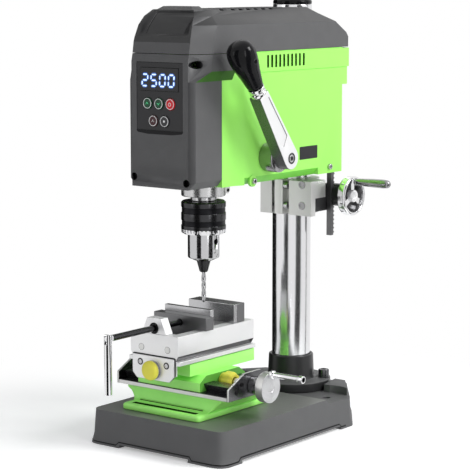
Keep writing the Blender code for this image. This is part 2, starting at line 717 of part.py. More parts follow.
def build_base(machine):
    """Build the hollow base casting with its table, rear pads and bolt holes."""
    pad_top = BASE_HEIGHT - PAD_DROP
    base = Piece("base_casting", machine, "black_casting", loft("Z", [
        (0.0, base_outline(FLARE)),
        (FLARE_FOOT, base_outline(FLARE - SIDE_DRAFT)),
        (FLARE_TOP, base_outline(SIDE_DRAFT)),
        (BASE_HEIGHT, base_outline(0.0)),
    ]))
    base.cut(prism("Z", base_outline(-SKIRT_WALL), -OVERRUN, CAVITY_HEIGHT))
    reach = BASE_HALF_WIDTH + OVERRUN + FLARE
    base.cut(prism("X", [(TABLE_REAR, BASE_HEIGHT + OVERRUN), (TABLE_REAR, BASE_HEIGHT),
                         (TABLE_REAR + STEP_RUN, pad_top), (BASE_REAR + OVERRUN, pad_top),
                         (BASE_REAR + OVERRUN, BASE_HEIGHT + OVERRUN)], -reach, reach))
    base.cut(box(-FRONT_NOTCH_LENGTH / 2, FRONT_NOTCH_LENGTH / 2, BASE_FRONT - OVERRUN - FLARE,
                 BASE_REAR + OVERRUN + FLARE, -OVERRUN, NOTCH_HEIGHT))
    base.cut(box(-reach, reach, SIDE_NOTCH_FRONT, SIDE_NOTCH_REAR, -OVERRUN, NOTCH_HEIGHT))
    for side in (-1, 1):
        plan = [(RIDGE_INNER, RIDGE_FRONT), (RIDGE_OUTER, RIDGE_FRONT),
                (RIDGE_REAR_OUTER, RIDGE_REAR), (RIDGE_REAR_INNER, RIDGE_REAR)]
        base.join(prism("Z", [(side * x, y) for x, y in plan], CAVITY_HEIGHT + SKIRT_WALL / 2,
                        pad_top + RIDGE_HEIGHT))
        hole = (side * MOUNT_HOLE_X, MOUNT_HOLE_Y)
        base.cut(rod("Z", hole, MOUNT_HOLE_RADIUS, -OVERRUN, BASE_HEIGHT, SMALL_TURN_STEPS))
        base.cut(rod("Z", hole, SPOT_RADIUS, pad_top, BASE_HEIGHT + RIDGE_HEIGHT + OVERRUN))
    base.cut(rod("Z", (0.0, COLUMN_Y), FLANGE_RADIUS + FIT, pad_top,
                 BASE_HEIGHT + RIDGE_HEIGHT + OVERRUN))
    seat = pad_top + FIT
    top = seat + FLANGE_THICKNESS
    tube = COLUMN_RADIUS + FIT
    socket_top = top + SOCKET_HEIGHT
    foot = Piece("column_foot", machine, "black_casting", turned("Z", (0.0, COLUMN_Y), [
        (FLANGE_RADIUS, seat), (FLANGE_RADIUS, top), (COLUMN_RADIUS + SOCKET_FOOT_WALL, top),
        (COLUMN_RADIUS + SOCKET_TOP_WALL, socket_top), (tube, socket_top), (tube, seat)], hollow=True))
    for index in range(FLANGE_BOLT_COUNT):
        turn = FLANGE_BOLT_FIRST_ANGLE + 2 * pi * index / FLANGE_BOLT_COUNT
        spot = (FLANGE_BOLT_CIRCLE * cos(turn), COLUMN_Y + FLANGE_BOLT_CIRCLE * sin(turn))
        end = top + FIT - FLANGE_BOLT_LENGTH
        head_top = top + FIT + BOLT_HEAD_HEIGHT
        bore = FLANGE_BOLT_RADIUS + FIT
        for drilled in (foot, base):
            drilled.cut(rod("Z", spot, bore, end - FIT, top + OVERRUN, SMALL_TURN_STEPS))
        foot.cut(rod("Z", spot, BOLT_HEAD_RADIUS + FIT, top, socket_top, SMALL_TURN_STEPS))
        bolt = Piece(f"foot_bolt_{index + 1}", machine, "steel", turned("Z", spot, [
            (FLANGE_BOLT_RADIUS, end), (FLANGE_BOLT_RADIUS, top + FIT),
            (BOLT_HEAD_RADIUS, top + FIT), (BOLT_HEAD_RADIUS, head_top)], SMALL_TURN_STEPS))
        bolt.cut(rod("Z", spot, BOLT_HEAD_RADIUS / 2, head_top - BOLT_HEAD_HEIGHT / 2,
                     head_top + OVERRUN, 6))
    column = Piece("column", machine, "chrome", turned("Z", (0.0, COLUMN_Y), [
        (COLUMN_RADIUS, seat), (COLUMN_RADIUS, COLUMN_TOP),
        (COLUMN_RADIUS - COLUMN_WALL, COLUMN_TOP), (COLUMN_RADIUS - COLUMN_WALL, seat)],
        hollow=True))
    cap_seat = COLUMN_TOP + FIT
    plug = COLUMN_RADIUS - COLUMN_WALL - FIT
    Piece("column_cap", machine, "black_plastic", turned("Z", (0.0, COLUMN_Y), [
        (plug, cap_seat - CAP_PLUG_LENGTH), (plug, cap_seat), (COLUMN_RADIUS, cap_seat),
        (COLUMN_RADIUS, cap_seat + CAP_THICKNESS / 2),
        (COLUMN_RADIUS - CAP_THICKNESS / 3, cap_seat + CAP_THICKNESS)]))
    return column


# Clamp bracket and height adjustment

def build_bracket(bracket):
    """Build the split clamp bracket with its two screws."""
    centre = (0.0, COLUMN_Y)
    plate_rear = BRACKET_FRONT + BRACKET_PLATE_DEPTH
    clamp = Piece("clamp_bracket", bracket, "aluminium",
                  rod("Z", centre, RING_RADIUS, BRACKET_BOTTOM, BRACKET_TOP))
    clamp.join(box(EAR_LEFT, BRACKET_RIGHT, BRACKET_FRONT, plate_rear, BRACKET_BOTTOM, BRACKET_TOP))
    clamp.join(box(EAR_LEFT, EAR_INNER, BRACKET_FRONT, COLUMN_Y, BRACKET_BOTTOM, BRACKET_TOP))
    clamp.join(box(EAR_INNER - OVERRUN, BRACKET_RIGHT, BRACKET_FRONT, EAR_REAR, EAR_BOTTOM, BRACKET_TOP))
    low = BRACKET_BOTTOM - OVERRUN
    high = BRACKET_TOP + OVERRUN
    clamp.cut(rod("Z", centre, COLUMN_RADIUS + FIT, low, high))
    clamp.cut(box(SLIT_LEFT, SLIT_LEFT + SLIT_WIDTH, BRACKET_FRONT - OVERRUN, COLUMN_Y, low, high))
    clamp.cut(box(POCKET_LEFT, POCKET_LEFT + POCKET_WIDTH, BRACKET_FRONT - OVERRUN,
                  BRACKET_FRONT + CLAMP_SCREW_SETBACK + CLAMP_HEAD_RADIUS + FIT, low, high))
    for index, height in enumerate(CLAMP_SCREW_HEIGHTS):
        line = (BRACKET_FRONT + CLAMP_SCREW_SETBACK, height)
        under_head = POCKET_LEFT + FIT
        end = under_head - CLAMP_SCREW_LENGTH
        clamp.cut(rod("X", line, CLAMP_SCREW_RADIUS + FIT, end - FIT, under_head + FIT,
                      SMALL_TURN_STEPS))
        screw = Piece(f"clamp_screw_{index + 1}", bracket, "steel", turned("X", line, [
            (CLAMP_SCREW_RADIUS, end), (CLAMP_SCREW_RADIUS, under_head),
            (CLAMP_HEAD_RADIUS, under_head), (CLAMP_HEAD_RADIUS, under_head + CLAMP_HEAD_LENGTH)],
            SMALL_TURN_STEPS))
        screw.cut(rod("X", line, CLAMP_HEAD_RADIUS / 2, under_head + CLAMP_HEAD_LENGTH / 2,
                      under_head + CLAMP_HEAD_LENGTH + OVERRUN, 6))
    line = (PINION_Y, PINION_Z)
    housing = Piece("pinion_housing", bracket, "black_casting",
                    rod("X", line, HOUSING_RADIUS, HOUSING_LEFT, HOUSING_RIGHT))
    housing.join(box(HOUSING_LEFT, HOUSING_WEB_RIGHT, plate_rear + FIT, PINION_Y,
                     HOUSING_WEB_BOTTOM, HOUSING_WEB_TOP))
    housing.cut(box(HOUSING_LEFT - OVERRUN, HOUSING_WEB_RIGHT + OVERRUN, plate_rear,
                    EAR_REAR + FIT, EAR_BOTTOM - FIT, HOUSING_WEB_TOP + OVERRUN))
    housing.cut(rod("Z", centre, RING_RADIUS + FIT, low, high))
    rack_rear = PINION_Y - PINION_RADIUS - 2 * FIT
    housing.cut(box(RACK_LEFT - FIT, RACK_LEFT + RACK_WIDTH + FIT, rack_rear - RACK_DEPTH - OVERRUN,
                    rack_rear + FIT, low, high))
    housing.cut(rod("X", line, PINION_RADIUS + FIT, RACK_LEFT - FIT, HOUSING_RIGHT + OVERRUN,
                    SMALL_TURN_STEPS))


def build_lift_drive(wheel_axis, crank_axis, head):
    """Build the pinion shaft, its handwheel and crank, and the rack on the head."""
    line = (PINION_Y, PINION_Z)
    wheel_left = HOUSING_RIGHT + OVERRUN / 2
    wheel_right = wheel_left + LIFT_WHEEL_WIDTH
    Piece("lift_pinion", wheel_axis, "steel", turned("X", line, [
        (PINION_RADIUS, RACK_LEFT), (PINION_RADIUS, HOUSING_RIGHT + FIT),
        (PINION_RADIUS, wheel_left - FIT)], SMALL_TURN_STEPS))
    web_left = wheel_left + (LIFT_WHEEL_WIDTH - LIFT_WHEEL_WEB) / 2
    web_right = web_left + LIFT_WHEEL_WEB
    wheel = Piece("lift_handwheel", wheel_axis, "chrome", turned("X", line, [
        (0.0, wheel_left), (LIFT_HUB_RADIUS, wheel_left), (LIFT_HUB_RADIUS, web_left),
        (LIFT_WHEEL_RADIUS - LIFT_WHEEL_RIM, web_left), (LIFT_WHEEL_RADIUS - LIFT_WHEEL_RIM, wheel_left),
        (LIFT_WHEEL_RADIUS, wheel_left), (LIFT_WHEEL_RADIUS, wheel_right),
        (LIFT_WHEEL_RADIUS - LIFT_WHEEL_RIM, wheel_right), (LIFT_WHEEL_RADIUS - LIFT_WHEEL_RIM, web_right),
        (LIFT_HUB_RADIUS, web_right), (LIFT_HUB_RADIUS, wheel_right), (0.0, wheel_right)]))
    for index in range(3):
        turn = 2 * pi * index / 3
        hole = (PINION_Y + LIFT_SPOKE_HOLE_CIRCLE * cos(turn),
                PINION_Z + LIFT_SPOKE_HOLE_CIRCLE * sin(turn))
        wheel.cut(rod("X", hole, LIFT_SPOKE_HOLE_RADIUS, wheel_left - OVERRUN,
                      wheel_right + OVERRUN, SMALL_TURN_STEPS))
    pin = (crank_axis.place.y, crank_axis.place.z)
    boss_end = wheel_right + FIT
    wheel.join(rod("X", pin, LIFT_CRANK_TIP_RADIUS, web_left, wheel_right, SMALL_TURN_STEPS))
    Piece("lift_crank_handle", crank_axis, "chrome", turned("X", pin, [
        (0.0, boss_end), (LIFT_CRANK_ROOT_RADIUS, boss_end),
        (LIFT_CRANK_TIP_RADIUS, boss_end + LIFT_CRANK_LENGTH / 2),
        (LIFT_CRANK_TIP_RADIUS, boss_end + LIFT_CRANK_LENGTH - LIFT_CRANK_TIP_RADIUS / 2),
        (LIFT_CRANK_TIP_RADIUS / 2, boss_end + LIFT_CRANK_LENGTH),
        (0.0, boss_end + LIFT_CRANK_LENGTH)], SMALL_TURN_STEPS))
    rack_rear = PINION_Y - PINION_RADIUS - 2 * FIT
    top = HEAD_BOTTOM - FIT
    count = int((top - RACK_BOTTOM) / RACK_TOOTH_PITCH)
    teeth = []
    for index in range(count):
        foot = RACK_BOTTOM + index * RACK_TOOTH_PITCH
        teeth += [(rack_rear - RACK_TOOTH_DEPTH, foot),
                  (rack_rear - RACK_TOOTH_DEPTH, foot + RACK_TOOTH_PITCH / 2),
                  (rack_rear, foot + RACK_TOOTH_PITCH * 3 / 5),
                  (rack_rear, foot + RACK_TOOTH_PITCH * 9 / 10)]
    outline = [(rack_rear - RACK_DEPTH, RACK_BOTTOM)] + teeth + [(rack_rear - RACK_DEPTH, top)]
    outline.insert(-1, (rack_rear - RACK_TOOTH_DEPTH, top))
    Piece("height_rack", head, "steel", prism("X", outline, RACK_LEFT, RACK_LEFT + RACK_WIDTH))


# Head casting, covers and controls

def head_outline(inset, half_width, rear):
    """Return the plan of the green body, smaller all round by inset."""
    widening = half_width - HEAD_HALF_WIDTH
    half = [(HEAD_NOSE_HALF_WIDTH + widening - inset, HEAD_FRONT + inset),
            (HEAD_NOSE_HALF_WIDTH + widening - inset, HEAD_NOSE_REAR),
            (half_width - inset, HEAD_WIDE_FROM),
            (half_width - inset, rear - HEAD_CORNER),
            (half_width - HEAD_CORNER, rear - inset)]
    return mirrored(half)


def build_head(head):
    """Build the green body with its guides, bosses and vents."""
    body = Piece("head_body", head, "green_paint",
                 prism("Z", head_outline(0.0, HEAD_HALF_WIDTH, HEAD_REAR), HEAD_BOTTOM, HEAD_SPLIT))
    overlap = HEAD_WALL / 2
    body.join(prism("Z", head_outline(overlap, HEAD_HALF_WIDTH + overlap, HEAD_STEP_REAR + overlap),
                    HEAD_STEP_BOTTOM, HEAD_SPLIT - overlap))
    band = [(HEAD_BAND_HALF_WIDTH, HEAD_BAND_FRONT), (HEAD_BAND_HALF_WIDTH, HEAD_BAND_REAR - HEAD_CORNER),
            (HEAD_BAND_HALF_WIDTH - HEAD_CORNER, HEAD_BAND_REAR)]
    inner = [(x - HEAD_WALL - HEAD_BAND_HALF_WIDTH + HEAD_HALF_WIDTH, min(y, HEAD_BAND_REAR - HEAD_WALL))
             for x, y in band]
    body.join(prism("Z", mirrored(band), HEAD_BAND_BOTTOM, HEAD_SPLIT - overlap / 2))
    body.cut(prism("Z", head_outline(HEAD_WALL, HEAD_HALF_WIDTH, HEAD_REAR),
                   HEAD_BOTTOM + HEAD_FLOOR, HEAD_SPLIT + OVERRUN))
    body.cut(prism("Z", mirrored(inner), HEAD_BAND_BOTTOM + HEAD_WALL, HEAD_SPLIT + OVERRUN))
    for side in (-1, 1):
        corner = HEAD_HALF_WIDTH + FIT
        body.cut(prism("Y", [(side * (corner - HEAD_CHAMFER_WIDTH), HEAD_BOTTOM - FIT),
                             (side * (corner + OVERRUN), HEAD_BOTTOM - FIT),
                             (side * (corner + OVERRUN), HEAD_BOTTOM + HEAD_CHAMFER_HEIGHT),
                             (side * corner, HEAD_BOTTOM + HEAD_CHAMFER_HEIGHT)],
                       HEAD_WIDE_FROM, HEAD_CHAMFER_REAR))
        inside = HEAD_HALF_WIDTH - overlap
        body.join(rod("X", (LEVER_Y, LEVER_Z), FEED_BOSS_RADIUS,
                      *sorted((side * inside, side * (inside - FEED_BOSS_LENGTH)))))
    guide_radius = QUILL_RADIUS + FIT + GUIDE_WALL
    body.join(rod("Z", (0.0, 0.0), guide_radius, HEAD_BOTTOM, GUIDE_TOP))
    body.join(rod("Z", (0.0, COLUMN_Y), COLUMN_RADIUS + FIT + SLEEVE_WALL, HEAD_BOTTOM, HEAD_SPLIT))
    body.join(rod("Z", (0.0, MOTOR_Y), MOTOR_PEDESTAL_RADIUS, HEAD_BOTTOM + HEAD_FLOOR / 2,
                  MOTOR_BOTTOM - FIT))
    bridge_reach = HEAD_NOSE_HALF_WIDTH - overlap
    body.join(box(-bridge_reach, bridge_reach, -BRIDGE_DEPTH / 2, BRIDGE_DEPTH / 2,
                  BRIDGE_BOTTOM, BRIDGE_BOTTOM + BRIDGE_THICKNESS))
    low = HEAD_BOTTOM - OVERRUN
    high = HEAD_SPLIT + OVERRUN
    body.cut(rod("Z", (0.0, 0.0), QUILL_RADIUS + FIT, low, QUILL_TOP + FIT))
    slot = QUILL_RACK_HALF_WIDTH + FIT
    body.cut(box(-slot, slot, QUILL_RADIUS / 2, QUILL_RADIUS + QUILL_RACK_PROUD + FIT,
                 low, QUILL_TOP + FIT))
    body.cut(rod("Z", (0.0, 0.0), PULLEY_HUB_RADIUS + FIT, QUILL_TOP, high, SMALL_TURN_STEPS))
    body.cut(rod("Z", (0.0, COLUMN_Y), COLUMN_RADIUS + FIT, low, high))
    window = FEED_PINION_HALF_WIDTH + FIT
    body.cut(rod("X", (LEVER_Y, LEVER_Z), FEED_PINION_RADIUS + FIT, -window, window))
    body.cut(rod("X", (LEVER_Y, LEVER_Z), FEED_SHAFT_RADIUS + FIT, -FEED_SHAFT_REACH - FIT,
                 HEAD_HALF_WIDTH + OVERRUN, SMALL_TURN_STEPS))
    reach = HEAD_BAND_HALF_WIDTH + OVERRUN
    for index in range(VENT_COUNT):
        front = VENT_FRONT + index * VENT_PITCH
        for side in (-1, 1):
            inside = HEAD_HALF_WIDTH - HEAD_WALL - OVERRUN / 2
            body.cut(box(*sorted((side * inside, side * reach)), front, front + VENT_WIDTH,
                         VENT_BOTTOM, VENT_TOP))
    body.cut(rod("Y", (GLAND_X, GLAND_Z), GLAND_PLUG_RADIUS + FIT, HEAD_REAR - HEAD_WALL - FIT,
                 HEAD_REAR + FIT, SMALL_TURN_STEPS))
    gland_end = HEAD_REAR + FIT + GLAND_LENGTH
    Piece("cord_gland", head, "black_plastic", turned("Y", (GLAND_X, GLAND_Z), [
        (GLAND_BORE, HEAD_REAR - HEAD_WALL), (GLAND_PLUG_RADIUS, HEAD_REAR - HEAD_WALL),
        (GLAND_PLUG_RADIUS, HEAD_REAR + FIT), (GLAND_RADIUS, HEAD_REAR + FIT),
        (GLAND_PLUG_RADIUS, gland_end), (GLAND_BORE, gland_end)], SMALL_TURN_STEPS, hollow=True))


def cover_solid(inset, overrun):
    """Return the front cover's solid below the split, smaller by inset and longer by overrun."""
    face = COVER_FACE_HALF_WIDTH - inset / 2
    nose = HEAD_NOSE_HALF_WIDTH - inset
    wide = HEAD_HALF_WIDTH - inset
    front = COVER_FRONT + inset
    corner = front + COVER_CORNER_DEPTH - inset / 2
    deep = front + SHELL_CORNER_DEPTH - inset / 2
    rear = HEAD_FRONT - FIT + overrun
    lean = LID_FRONT_RUN * LID_LEVEL_SHARES[0][1]
    low = COVER_BOTTOM + inset
    foot = nose - COVER_CHAMFER_WIDTH
    levels = ((low, foot, foot, front, corner),
              (low + COVER_CHAMFER_HEIGHT, face, nose, front, corner),
              (COVER_SHOULDER_FOOT, face, nose, front, corner),
              (COVER_SHOULDER_TOP, face, wide, front, deep),
              (COVER_CREASE, face, wide, front, deep),
              (HEAD_SPLIT - FIT + overrun, face, wide, front + lean, deep + lean))
    return loft("Z", [(height, mirrored([(width, start), (side, bend), (side, rear)]))
                      for height, width, side, start, bend in levels])


def build_covers(head):
    """Build the black front cover with its wings, the control panel and its window."""
    cover = Piece("front_cover", head, "black_plastic", cover_solid(0.0, 0.0))
    cover.cut(cover_solid(COVER_WALL, OVERRUN))
    inner = HEAD_NOSE_HALF_WIDTH + FIT
    for side in (-1, 1):
        wing = [(inner, COVER_SHOULDER_FOOT + FIT), (HEAD_HALF_WIDTH, COVER_SHOULDER_TOP),
                (HEAD_HALF_WIDTH, HEAD_SPLIT - FIT), (inner, HEAD_SPLIT - FIT)]
        cover.join(prism("Y", [(side * x, z) for x, z in wing], HEAD_FRONT - COVER_WALL,
                         HEAD_NOSE_REAR - FIT))
    cover.cut(rod("Z", (0.0, 0.0), QUILL_RADIUS + GUIDE_WALL + 2 * FIT, COVER_BOTTOM - OVERRUN,
                  GUIDE_TOP))
    recess = COVER_FRONT + PANEL_RECESS
    cover.cut(box(-PANEL_HALF_WIDTH - FIT, PANEL_HALF_WIDTH + FIT, COVER_FRONT - OVERRUN, recess,
                  PANEL_BOTTOM - FIT, PANEL_TOP + FIT))
    panel = Piece("control_panel", head, "grey_plastic",
                  box(-PANEL_HALF_WIDTH, PANEL_HALF_WIDTH, recess - FIT - PANEL_THICKNESS,
                      recess - FIT, PANEL_BOTTOM, PANEL_TOP))
    behind = COVER_FRONT + COVER_WALL + OVERRUN
    for opened in (cover, panel):
        opened.cut(box(-DISPLAY_HALF_WIDTH - FIT, DISPLAY_HALF_WIDTH + FIT, COVER_FRONT - OVERRUN,
                       behind, DISPLAY_BOTTOM - FIT, DISPLAY_TOP + FIT))
    Piece("display_window", head, "blue_display",
          box(-DISPLAY_HALF_WIDTH, DISPLAY_HALF_WIDTH, COVER_FRONT, COVER_FRONT + DISPLAY_THICKNESS,
              DISPLAY_BOTTOM, DISPLAY_TOP))
    return cover, panel


def lid_solid(inset, overrun):
    """Return the lid's solid, smaller by inset and reaching lower by overrun."""
    levels = []
    for rise_share, run_share, face_share, narrow_share, rear_share in LID_LEVEL_SHARES:
        side = HEAD_HALF_WIDTH - (HEAD_HALF_WIDTH - LID_TOP_HALF_WIDTH) * narrow_share - inset
        front = COVER_FRONT + LID_FRONT_RUN * run_share + inset
        rear = HEAD_BAND_REAR - LID_REAR_RUN * rear_share - inset
        height = HEAD_SPLIT + FIT - overrun
        if rise_share:
            height = HEAD_SPLIT + LID_RISE * rise_share - inset
        levels.append((height, mirrored([
            (COVER_FACE_HALF_WIDTH * face_share - inset / 2, front),
            (side, front + SHELL_CORNER_DEPTH - inset / 2),
            (side, rear - HEAD_CORNER), (side - HEAD_CORNER, rear)])))
    return loft("Z", levels)


def build_lid(head):
    """Build the lid with its raised front peak; it covers the pulleys and passes the column."""
    lid = Piece("top_lid", head, "black_plastic", lid_solid(0.0, 0.0))
    brow = COVER_FRONT + LID_FRONT_RUN
    lid.join(loft("Z", [
        (LID_TOP - LID_WALL / 2, mirrored([(PEAK_HALF_WIDTH, brow), (PEAK_HALF_WIDTH, PEAK_REAR)])),
        (LID_PEAK, mirrored([(PEAK_TOP_HALF_WIDTH, brow + 2 * PEAK_PROUD),
                             (PEAK_TOP_HALF_WIDTH, PEAK_REAR - PEAK_PROUD)]))]))
    lid.cut(lid_solid(LID_WALL, OVERRUN))
    lid.cut(rod("Z", (0.0, COLUMN_Y), COLUMN_RADIUS + FIT, HEAD_SPLIT - OVERRUN, LID_PEAK + OVERRUN))


def build_buttons(axes, cover, panel):
    """Build the five press buttons of the control panel."""
    colours = ("green_button", "green_button", "red_button", "red_button", "black_plastic")
    names = ("button_up", "button_down", "button_power", "button_stop", "button_mode")
    for (name, axis), colour in zip(zip(names, axes), colours):
        spot = (axis.place.x, axis.place.z)
        front = COVER_FRONT - BUTTON_PROUD
        for drilled in (cover, panel):
            drilled.cut(rod("Y", spot, BUTTON_RADIUS + FIT, COVER_FRONT - OVERRUN,
                            COVER_FRONT + COVER_WALL + OVERRUN, SMALL_TURN_STEPS))
        Piece(name, axis, colour, turned("Y", spot, [
            (BUTTON_RADIUS - BUTTON_PROUD / 2, front), (BUTTON_RADIUS, front + BUTTON_PROUD / 2),
            (BUTTON_RADIUS, front + BUTTON_LENGTH)], SMALL_TURN_STEPS))


# Motor, pulleys and belt

def belt_loop(large, small, distance, steps):
    """Return the outline of a belt on two pulleys, one at the origin and one up the axis."""
    tilt = acos((large - small) / distance)
    points = []
    for step in range(2 * steps + 1):
        turn = tilt + (2 * pi - 2 * tilt) * step / (2 * steps)
        points.append((large * sin(turn), large * cos(turn)))
    for step in range(steps + 1):
        turn = -tilt + 2 * tilt * step / steps
        points.append((small * sin(turn), distance + small * cos(turn)))
    return points


def pulley_profile(radius, hub):
    """Return the profile of a flanged pulley with its hub below."""
    top = PULLEY_BOTTOM + PULLEY_WIDTH
    rim = radius + BELT_THICKNESS
    return [(hub, PULLEY_BOTTOM), (rim, PULLEY_BOTTOM), (rim, PULLEY_BOTTOM + PULLEY_FLANGE),
            (radius, PULLEY_BOTTOM + PULLEY_FLANGE), (radius, top - PULLEY_FLANGE),
            (rim, top - PULLEY_FLANGE), (rim, top)]


def build_drive(head, motor_axis, pulley_axis):
    """Build the motor, both pulleys and the belt between them."""
    line = (0.0, MOTOR_Y)
    shaft_end = MOTOR_TOP - 2 * MOTOR_SHAFT_RADIUS
    Piece("motor", head, "steel", turned("Z", line, [
        (MOTOR_RADIUS, MOTOR_BOTTOM), (MOTOR_RADIUS, MOTOR_TOP),
        (MOTOR_SHAFT_RADIUS + FIT, MOTOR_TOP), (MOTOR_SHAFT_RADIUS + FIT, shaft_end - FIT),
        (0.0, shaft_end - FIT)], SMALL_TURN_STEPS))
    top = PULLEY_BOTTOM + PULLEY_WIDTH
    Piece("motor_pulley", motor_axis, "steel", turned("Z", line, [
        (0.0, shaft_end), (MOTOR_SHAFT_RADIUS, shaft_end), (MOTOR_SHAFT_RADIUS, PULLEY_BOTTOM)]
        + pulley_profile(MOTOR_PULLEY_RADIUS, MOTOR_SHAFT_RADIUS)[1:] + [(0.0, top)],
        SMALL_TURN_STEPS))
    bore = SPINDLE_RADIUS + FIT
    bridge_top = BRIDGE_BOTTOM + BRIDGE_THICKNESS + FIT
    Piece("spindle_pulley", pulley_axis, "steel", turned("Z", (0.0, 0.0), [
        (bore, BRIDGE_BOTTOM), (PULLEY_HUB_RADIUS, BRIDGE_BOTTOM), (PULLEY_HUB_RADIUS, bridge_top),
        (PULLEY_COLLAR_RADIUS, bridge_top), (PULLEY_COLLAR_RADIUS, bridge_top + PULLEY_COLLAR_LENGTH),
        (PULLEY_HUB_RADIUS, bridge_top + PULLEY_COLLAR_LENGTH)]
        + pulley_profile(SPINDLE_PULLEY_RADIUS, PULLEY_HUB_RADIUS) + [(bore, top)],
        SMALL_TURN_STEPS, hollow=True))
    steps = 2 * ROUND_STEPS
    chord = 1 / cos(pi / steps / 2)
    inner = belt_loop((SPINDLE_PULLEY_RADIUS + FIT) * chord, (MOTOR_PULLEY_RADIUS + FIT) * chord,
                      MOTOR_Y, steps)
    outer = belt_loop(SPINDLE_PULLEY_RADIUS + BELT_THICKNESS, MOTOR_PULLEY_RADIUS + BELT_THICKNESS,
                      MOTOR_Y, steps)
    low = PULLEY_BOTTOM + PULLEY_FLANGE + FIT
    high = top - PULLEY_FLANGE - FIT
    mesh = bmesh.new()
    rings = [[mesh.verts.new(point("Z", u, v, w)) for u, v in loop]
             for w, loop in ((low, outer), (high, outer), (high, inner), (low, inner))]
    for lower, upper in zip(rings, rings[1:] + rings[:1]):
        bridge(mesh, lower, upper)
    Piece("drive_belt", head, "belt_rubber", mesh)


# Quill, spindle and chuck

